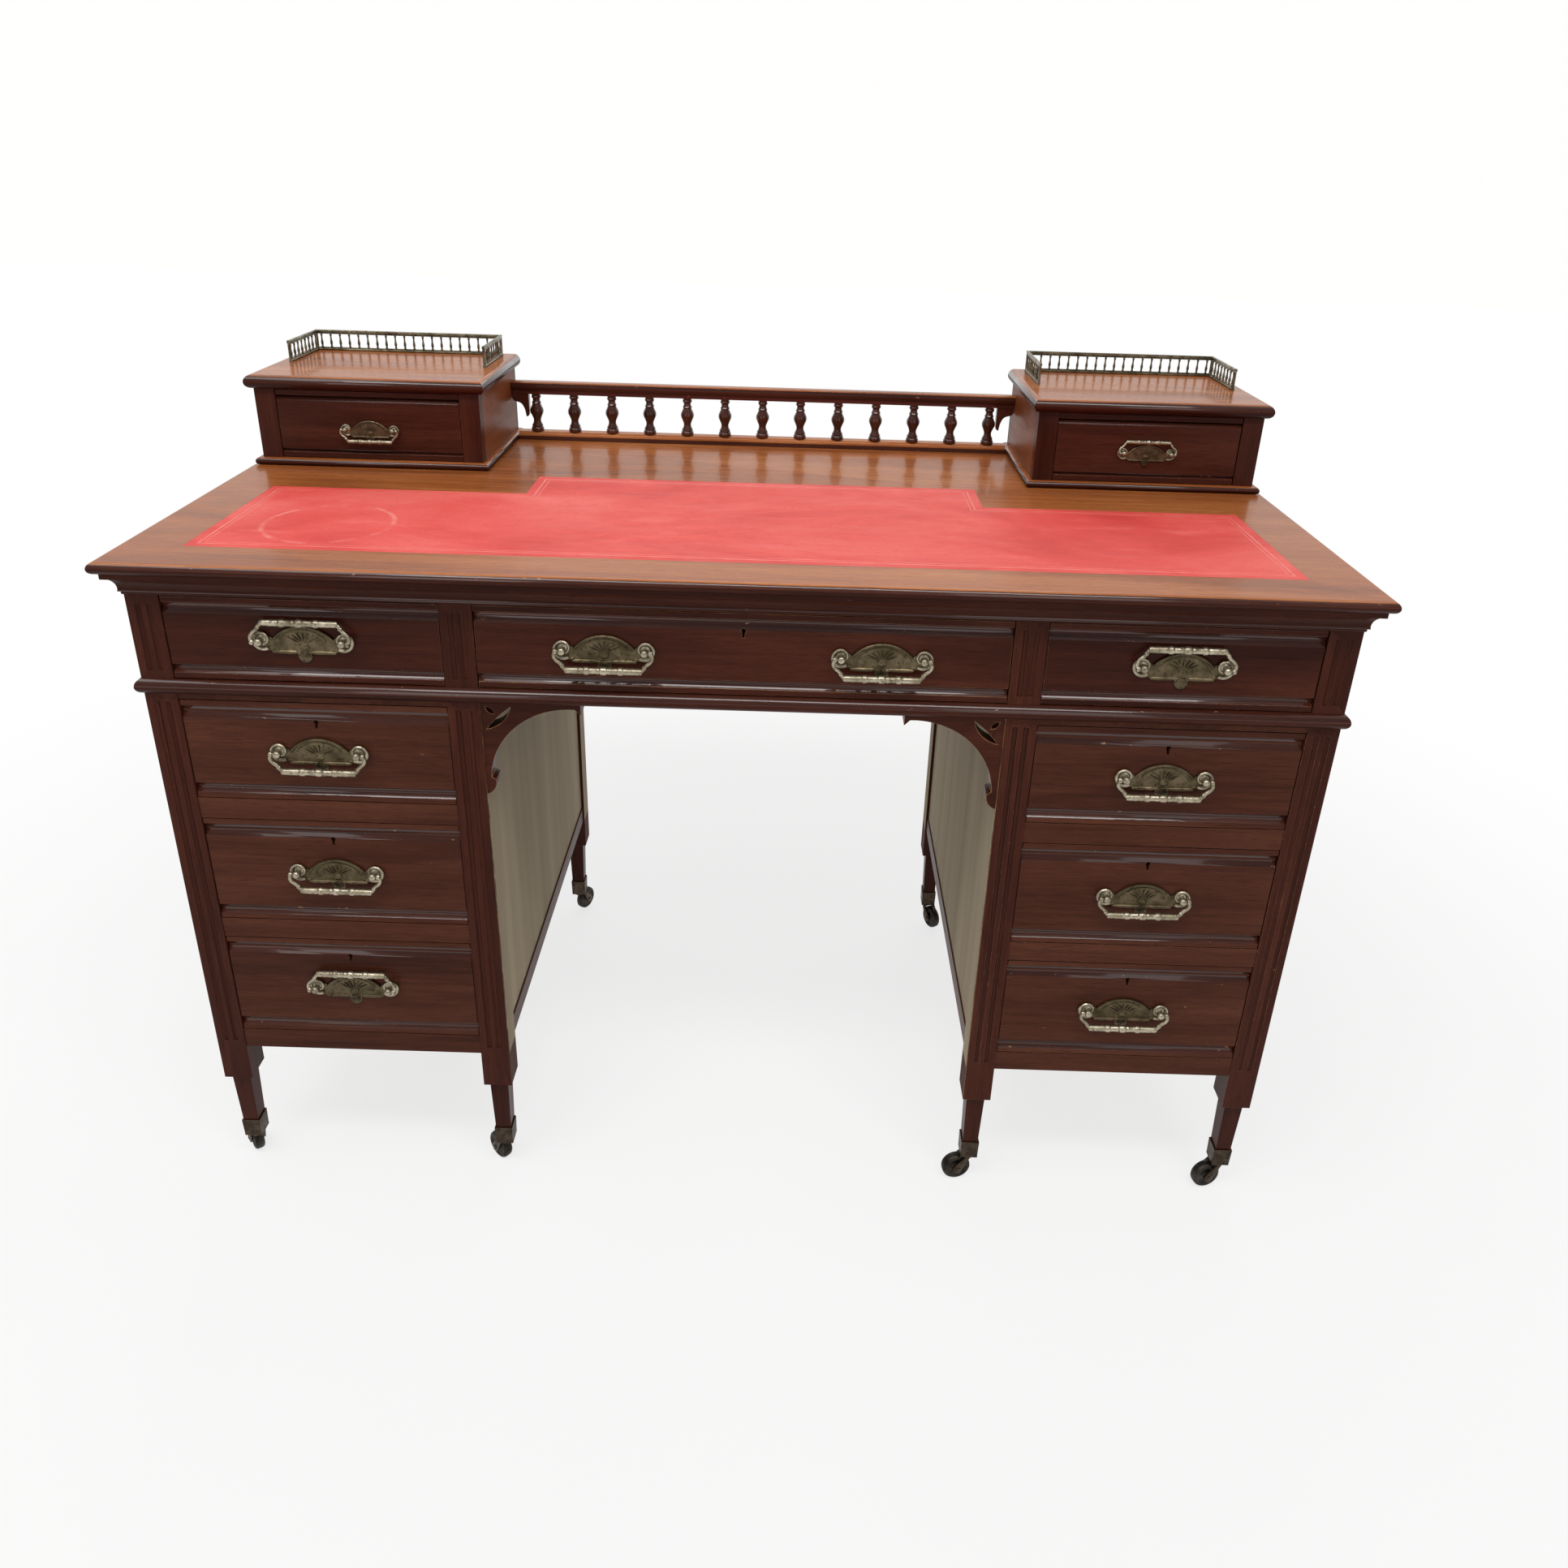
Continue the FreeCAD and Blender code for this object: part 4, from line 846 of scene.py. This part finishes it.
class Handle:
    """Places points of one handle: origin between its posts on the drawer front, -Y outwards."""

    def __init__(self, joint):
        self.k = BOX_HANDLE_SCALE if joint["parent"].startswith("box") else 1.0
        self.pivot = Vector(joint["pos_m"]) / MM
        self.origin = self.pivot + Vector((0, PIVOT_OUT * self.k, 0))
        self.raised = joint["axis"][0] > 0

    def put(self, x, z, out):
        """Point across, up and out from the drawer front."""
        return self.origin + Vector((x, -out, z)) * self.k

    def swing(self, x, z):
        """Point across and up on the hanging bail, turned over where the bail stands raised."""
        place = self.put(x, z, PIVOT_OUT)
        if not self.raised:
            return place
        return self.pivot + Matrix.Rotation(-BAIL_RAISED_ANGLE, 3, "X") @ (place - self.pivot)


def plate_outline():
    """Outline of a plate, with rounded ends and a straight lower edge, and the dome alone."""
    end_radius = (PLATE_HIGH - PLATE_LOW) / 2
    right = arc((POST_X, (PLATE_HIGH + PLATE_LOW) / 2), end_radius, -90, 90, 14)
    rise = DOME_RISE - DOME_FOOT
    dome_radius = (DOME_HALF ** 2 + rise ** 2) / (2 * rise)
    reach = math.degrees(math.asin(DOME_HALF / dome_radius))
    dome = arc((0, DOME_RISE - dome_radius), dome_radius, 90 - reach, 90 + reach, 18)
    left = [(-x, z) for x, z in reversed(right)]
    return right + dome + left, dome


def plate(piece, handle):
    """Back plate with its rim, fan, boss, scrolls, ledges, posts and shell drop."""
    outline, dome = plate_outline()
    put = handle.put
    k = handle.k
    piece.bar(outline, 0.0, PLATE, put)
    rim = [put(x, z - 1.2, PLATE + 0.2) for x, z in dome]
    piece.tube(rim, [1.7 * k] * len(rim))
    inner = [put(x * 0.80, z * 0.80 - 1.0, PLATE) for x, z in dome]
    piece.tube(inner, [0.55 * k] * len(inner), sides=8)
    for rib in FAN_RIBS:
        fan_rib(piece, handle, rib * FAN_STEP)
    boss = [(5.0 * math.cos(turn), -6.5 + 3.4 * math.sin(turn)) for turn in turns(16)]
    piece.boss(boss, PLATE, 1.6, put)
    for side in SIDES.values():
        volute(piece, handle, side)
        piece.tube([put(side * x, PLATE_LOW - 1.4, PLATE * 0.6) for x, radius in LEDGE],
                   [k * radius for x, radius in LEDGE])
        post(piece, handle, side)
    pendant(piece, handle)


def fan_rib(piece, handle, angle):
    """Rib of the fan, thickest and highest at its middle."""
    foot = (math.sin(angle) * 5.0, math.cos(angle) * 4.0 - 5.0)
    tip = (math.sin(angle) * 17.0, math.cos(angle) * 11.5 - 4.0)
    middle = ((foot[0] + tip[0]) / 2, (foot[1] + tip[1]) / 2)
    line = smooth_line([handle.put(*foot, PLATE), handle.put(*middle, PLATE + 0.7),
                        handle.put(*tip, PLATE)], 4)
    shares = [(index + 1) / (len(line) + 2) for index in range(len(line))]
    radii = [handle.k * (0.4 + 0.6 * math.sin(math.pi * share)) for share in shares]
    piece.tube(line, radii, sides=8)


def volute(piece, handle, side):
    """Scroll that starts at the lower edge, runs round the end and curls in over the post."""
    points = []
    radii = []
    for step in range(VOLUTE_STEPS + 1):
        share = step / VOLUTE_STEPS
        angle = math.radians(-125 + 395 * share)
        radius = VOLUTE_RADIUS * (1 - 0.50 * share)
        x = side * (POST_X + radius * math.cos(angle))
        z = radius * math.sin(angle) - 0.8 + 1.5 * share
        points.append(handle.put(x, z, PLATE + 0.4 + 1.1 * share))
        radii.append(handle.k * (2.1 - 0.8 * share))
    piece.tube(points, radii, BRIGHT)
    foot = [(side * (POST_X - 9 + x), PLATE_LOW + z) for x, z in VOLUTE_FOOT]
    piece.boss(foot, 0.0, PLATE + 0.8, handle.put, rings=3)


def pendant(piece, handle):
    """Shell drop under the middle of the plate."""
    put = handle.put
    outline = smooth_outline(PENDANT_HALF, 3)
    outline += [(-x, z) for x, z in reversed(outline[:-1])]
    piece.boss(outline, 0.0, PLATE + 1.4, put, rings=4)
    for flute in range(-2, 3):
        tip = -14.0 - 5.6 * math.cos(flute * 0.42)
        line = [put(flute * 1.3, -12.0, PLATE + 1.2), put(flute * 2.2, -15.5, PLATE + 1.7),
                put(flute * 2.9, tip, PLATE + 0.9)]
        piece.tube(line, [handle.k * radius for radius in (0.9, 1.0, 0.5)], sides=8)


def post(piece, handle, side):
    """Turned post that holds the bail, and behind the front its washer, square nut and stud."""
    k = handle.k
    foot = handle.put(side * POST_X, 0, 0)
    piece.lathe(scaled(POST, k), foot, OUTWARDS, BRIGHT)
    back = foot + Vector((0, FRONT_THICKNESS, 0))
    washer = [(0.05, 6.0 * k), (0.9 * k, 6.0 * k), (1.0 * k, 5.4 * k)]
    piece.lathe(washer, back, INWARDS, STEEL)
    piece.bar(scaled(NUT, k), 1.0 * k, 4.4 * k, lambda u, v, d: back + Vector((u, d, v)), STEEL)
    piece.lathe(scaled(STUD, k), back, INWARDS, STEEL, steps=14)


def lock(piece, name):
    """Drawer lock let in behind the front: plate, case, lip, screws and boss."""
    low, high = node_corners(name)
    middle = (low.x + high.x) / 2
    front = low.y + FRONT_THICKNESS
    inside = front + LOCK_PLATE
    back = front + LOCK_DEPTH
    top = high.z
    piece.block((middle - LOCK_HALF, front, top - LOCK_HEIGHT),
                (middle + LOCK_HALF, inside, top), CAST)
    piece.block((middle - LOCK_CASE_HALF, inside, top - LOCK_CASE_LOW),
                (middle + LOCK_CASE_HALF, back, top - LOCK_CASE_HIGH), STEEL)
    piece.block((middle - LOCK_HALF, front, top - LOCK_LIP),
                (middle + LOCK_HALF, back, top - 0.02), CAST)
    for x, z in LOCK_SCREWS:
        piece.lathe(LOCK_SCREW, (middle + x, front, top + z), INWARDS, steps=12)
    piece.lathe(LOCK_BOSS, (middle, front, top - LOCK_BOSS_LOW), INWARDS, steps=16)


def bail(name, joint):
    """Hanging or raised bail: a bar turned with beads, curved arms, knuckles and pins."""
    handle = Handle(joint)
    k = handle.k
    piece = Piece(HANDLED)
    piece.lathe(scaled(both_halves(BAR_HALF), k), handle.swing(0, -BAIL_DROP), ACROSS)
    eye = POST_X + KNUCKLE_FROM + KNUCKLE_PLAY / k
    route = [(BAR_END - 2.0, -BAIL_DROP), (BAR_END + 0.6, -BAIL_DROP + 2.6), (BAR_END + 3.6, -12.6),
             (eye + 1.2, -9.2), (eye + 3.2, -5.4), (eye + 2.6, -1.8), (eye + 1.8, 0.6)]
    arm = smooth_outline(route, 5)
    last = len(arm) - 1
    radii = [k * (2.3 - 0.35 * math.sin(math.pi * index / last)) for index in range(len(arm))]
    for side in SIDES.values():
        axis = (side, 0, 0)
        piece.tube([handle.swing(side * x, z) for x, z in arm], radii)
        pin = handle.swing(side * eye, 0)
        piece.lathe(scaled(KNUCKLE, k), pin, axis, steps=16)
        piece.lathe(scaled(PIN, k), pin, axis, steps=12)
        nub = handle.swing(side * (BAR_END + 1.8), -BAIL_DROP + 4.4)
        piece.lathe(scaled(NUB, k), nub, axis, steps=14)
    piece.done(name + "_turned", name, [name])


def handles():
    for name in DRAWERS:
        piece = Piece(BRASS, IRON, HANDLED)
        for joint in frame["joints"]:
            if joint["type"] == "hinge" and joint["parent"] == name:
                plate(piece, Handle(joint))
                bail(joint["child"], joint)
        if not name.startswith(UNLOCKED):
            lock(piece, name)
        piece.done(name + "_mounts", name, [name + "_fittings"], sharp=34)


def spindle_base(low, high, foot):
    """Section of the lower rail, rounded at its upper front edge."""
    quarter = [math.pi / 2 * step / 6 for step in range(1, 7)]
    rounded = [(low.y + GALLERY_ROUND * (1 - math.cos(turn)),
                foot - GALLERY_ROUND * (1 - math.sin(turn))) for turn in quarter]
    return [(low.y, low.z), (low.y, foot - GALLERY_ROUND), *rounded,
            (high.y, foot), (high.y, low.z)]


def spindle_rail(low, high, head):
    """Section of the upper rail: a neck under a wider board with rounded edges."""
    middle_y = (low.y + high.y) / 2
    shelf = head + RAIL_SHELF
    crown = (shelf + high.z) / 2
    bulge = (high.z - shelf) / 2
    nose = [math.pi * (step / 8 - 0.5) for step in range(9)]
    rounded = [(RAIL_ROUND * (1 - math.cos(turn)), crown + bulge * math.sin(turn)) for turn in nose]
    near = middle_y - RAIL_NECK / 2
    far = middle_y + RAIL_NECK / 2
    return [(near, head), (near, shelf), *[(low.y + inset, z) for inset, z in rounded],
            *[(high.y - inset, z) for inset, z in reversed(rounded)], (far, shelf), (far, head)]


def gallery_ear(inner, outer):
    """Outline of an ear, across and down from the upper rail."""
    hollow = smooth_outline([(inner + 4.4, 30.0), (inner + 6.0, 20.5), (inner + 10.5, 12.6),
                             (outer - 3.0, 9.4), (outer, 5.0)], 4)
    lobe = [(inner, 0.0), (inner, 26.0), (inner + 1.6, 29.2), (inner + 4.4, 30.0)]
    return lobe + hollow[1:] + [(outer, 0.0)]


def spindles():
    """Turned spindles between two moulded rails, with an ear at each end."""
    low, high = node_corners("spindle_gallery")
    piece = Piece(POLISHED[2], POLISHED[0], TOP_WOOD)
    middle_y = (low.y + high.y) / 2
    foot = low.z + GALLERY_BASE
    head = high.z - GALLERY_RAIL
    first = high.x - SPINDLE_END
    profile = [(share * (head - foot), radius) for share, radius in SPINDLE]
    for index in range(SPINDLES):
        x = first * (2 * index / (SPINDLES - 1) - 1)
        piece.lathe(profile, (x, middle_y, foot), UPWARDS, TURNED, steps=24)
    base_half = high.x - BOX_BASE_PROJECTION
    for section, half, slot in ((spindle_base(low, high, foot), base_half, FADED_AND_LIT),
                                (spindle_rail(low, high, head), high.x, MOULDED)):
        piece.bar(section, -half, half, lambda y, z, x: (x, y, z), slot)
    # The rails' upper faces take the pale top wood, faded and partly a painted lit band; the base's
    # lower front keeps the deep moulding tone, painted shade
    for face in piece.mesh.faces:
        middle_z = face.calc_center_median().z
        if middle_z > high.z - RAIL_TOP:
            face.material_index = FADED_AND_LIT
        elif middle_z < foot - GALLERY_ROUND:
            face.material_index = MOULDED
    for side in SIDES.values():
        piece.bar(gallery_ear(first + EAR_FROM, high.x), -EAR_HALF, EAR_HALF,
                  lambda x, drop, y: (side * x, middle_y + y, head - drop), TURNED)
    piece.done("turned_gallery", "carcass", ["spindle_gallery"])


def rounded_bar(width, low, high):
    """Section of a rail with rounded shoulders, across and up."""
    half = width / 2
    ease = min(half, (high - low) / 2) * 0.55
    return [(-half, low + ease), (-half + ease, low), (half - ease, low), (half, low + ease),
            (half, high - ease), (half - ease, high), (-half + ease, high), (-half, high - ease)]


def baluster_run(piece, start, end, height):
    """Rails and a row of small turned balusters from one point to the next."""
    run = end - start
    direction = run.normalized()
    across = Vector((-direction.y, direction.x, 0))
    rails = [(0.0, 2.6, 3.0), (2.6, BALUSTER_FOOT, 2.0),
             (height - BALUSTER_HEAD, height - 4.0, 2.0), (height - 4.0, height, 3.0)]
    for low, high, width in rails:
        piece.bar(rounded_bar(width, low, high), 0.0, run.length,
                  lambda u, v, d: start + across * u + direction * d + Vector((0, 0, v)))
    count = max(2, round(run.length / BALUSTER_PITCH))
    shaft = height - (BALUSTER_FOOT + BALUSTER_HEAD)
    profile = [(share * shaft, radius) for share, radius in BALUSTER]
    for index in range(count):
        distance = run.length * (index + 0.5) / count
        foot = start + direction * distance + Vector((0, 0, BALUSTER_FOOT))
        piece.lathe(profile, foot, UPWARDS, steps=10)


def brass_galleries():
    """Pierced galleries round the back and sides of the lids, open in front."""
    for name, side in SIDES.items():
        low, high = half_corners("brass_galleries", side)
        piece = Piece(GILT)
        inset = GALLERY_WIRE / 2
        height = high.z - low.z
        left, right, back = low.x + inset, high.x - inset, high.y - inset
        bends = [Vector((x, y, low.z)) for x, y in
                 ((left, low.y), (left, back), (right, back), (right, low.y))]
        for start, end in zip(bends, bends[1:]):
            baluster_run(piece, start, end, height)
        corner_post = [(0, 1.9), (1.0, 1.9), (2.0, 1.45), (height - 2.0, 1.45), (height - 1.0, 1.9),
                       (height - 0.02, 1.5)]
        for bend in bends:
            inward = Vector((0, inset if bend.y < high.y - 5 else 0, 0))
            piece.lathe(corner_post, bend + inward, UPWARDS, steps=12)
        piece.done(name + "_baluster_gallery", "carcass",
                   ["brass_galleries"] if side > 0 else [])


def castors():
    """Turned wheels on their axles; the cups and forks keep their solids."""
    for joint in frame["joints"]:
        if not joint["name"].endswith("_castor_roll"):
            continue
        body = joint["child"]
        hub = Vector(joint["pos_m"]) / MM
        axis = Vector(joint["axis"])
        piece = Piece(IRON, CUP_BRASS)
        piece.lathe(both_halves(WHEEL_HALF), hub, axis, steps=36)
        for side in SIDES.values():
            piece.lathe(AXLE_END, hub, axis * side, slot=1, steps=14)
        piece.done(body + "_turned", body, [body], sharp=50)
    for node, made in frame["nodes"].items():
        if node.endswith("_castor_fork") or node == "castor_cups":
            made.data.materials.clear()
            made.data.materials.append(CUP_BRASS)
            smooth_curves(made.data)
            tidy_facets(made)
            soften(made, 0.5)


def floor():
    """Pale floor that looks white to the camera and in reflections, and keeps the shadow."""
    shader = Shader("pale_floor", Specular_IOR_Level=0.1)
    mottle = shader.noise(shader.place, scale=3.0, detail=3.0)
    colour = shader.ramp(mottle, (0.3, (0.80, 0.795, 0.785)), (0.7, (0.83, 0.825, 0.815)))
    shader.finish(colour, 0.7)
    glow = shader.node("Emission", {"Color": (1.0, 1.0, 1.0), "Strength": 1.0})
    reach = shader.vectors("LENGTH", shader.place, result="Value")
    white = shader.remap(reach, FLOOR_NEAR, FLOOR_FAR, FLOOR_WHITE, 1.0)
    path = shader.node("LightPath").outputs
    plain = shader.maths("MAXIMUM", path["Is Camera Ray"], path["Is Transmission Ray"])
    seen = shader.maths("MULTIPLY", shader.maths("MAXIMUM", plain, path["Is Glossy Ray"]), white)
    mixed = shader.node("MixShader", {"Fac": seen, 1: shader.surface.outputs["BSDF"],
                                      2: glow.outputs["Emission"]})
    shader.join(shader.tree.nodes["Material Output"].inputs["Surface"], mixed.outputs["Shader"])
    data = bpy.data.meshes.new("floor")
    outline = [(-FLOOR, -FLOOR, 0), (FLOOR, -FLOOR, 0), (FLOOR, FLOOR, 0), (-FLOOR, FLOOR, 0)]
    data.from_pydata(outline, [], [(0, 1, 2, 3)])
    data.materials.append(shader.material)
    add_object("floor", data)


def lamps():
    for name, (place, target, size, power) in LAMPS.items():
        data = bpy.data.lights.new(name, "AREA")
        data.shape = "RECTANGLE"
        data.size, data.size_y = size
        data.energy = power
        made = add_object(name, data)
        made.location = place
        way = Vector(target) - Vector(place)
        made.rotation_euler = way.to_track_quat("-Z", "Y").to_euler()


def surround():
    """White surround that is dimmer towards the front in reflections."""
    world = bpy.data.worlds.new("studio")
    bpy.context.scene.world = world
    world.use_nodes = True
    nodes = Nodes(world.node_tree)
    sky = nodes.tree.nodes["Background"]
    nodes.join(sky.inputs["Color"], (1.0, 0.995, 0.985))
    path = nodes.node("LightPath").outputs
    way = nodes.node("SeparateXYZ", {"Vector": nodes.node("TexCoord").outputs["Generated"]})
    shade = nodes.node("MapRange", {"Value": way.outputs["Y"], "From Min": -0.5, "From Max": 0.4,
                                    "To Min": SKY_DIM, "To Max": 1.0})
    mirrored = nodes.node("Mix", {"Factor": path["Is Glossy Ray"], "A": SKY_LIGHT,
                                  "B": shade.outputs["Result"]})
    plain = nodes.maths("MAXIMUM", path["Is Camera Ray"], path["Is Transmission Ray"])
    shown = nodes.node("Mix", {"Factor": plain, "A": mirrored.outputs["Result"], "B": 1.0})
    nodes.join(sky.inputs["Strength"], shown.outputs["Result"])


def camera():
    data = bpy.data.cameras.new("camera")
    data.sensor_width = SENSOR
    data.lens = FOCAL_PIXELS / IMAGE * SENSOR
    data.shift_x = (IMAGE / 2 - CENTRE_PIXEL[0]) / IMAGE
    data.shift_y = (CENTRE_PIXEL[1] - IMAGE / 2) / IMAGE
    forward = Vector((math.sin(YAW) * math.cos(PITCH), math.cos(YAW) * math.cos(PITCH),
                      -math.sin(PITCH)))
    right = Vector((math.cos(YAW), -math.sin(YAW), 0))
    down = forward.cross(right)
    across = right * math.cos(ROLL) + down * math.sin(ROLL)
    below = down * math.cos(ROLL) - right * math.sin(ROLL)
    turned = Matrix((across, -below, -forward)).transposed().to_4x4()
    made = add_object("camera", data)
    made.matrix_world = Matrix.Translation(EYE * MM) @ turned
    bpy.context.scene.camera = made


dress_carcass()
dress_drawers()
leather_top()
handles()
spindles()
brass_galleries()
castors()
floor()
lamps()
surround()
camera()
bpy.context.scene.view_settings.view_transform = "Standard"
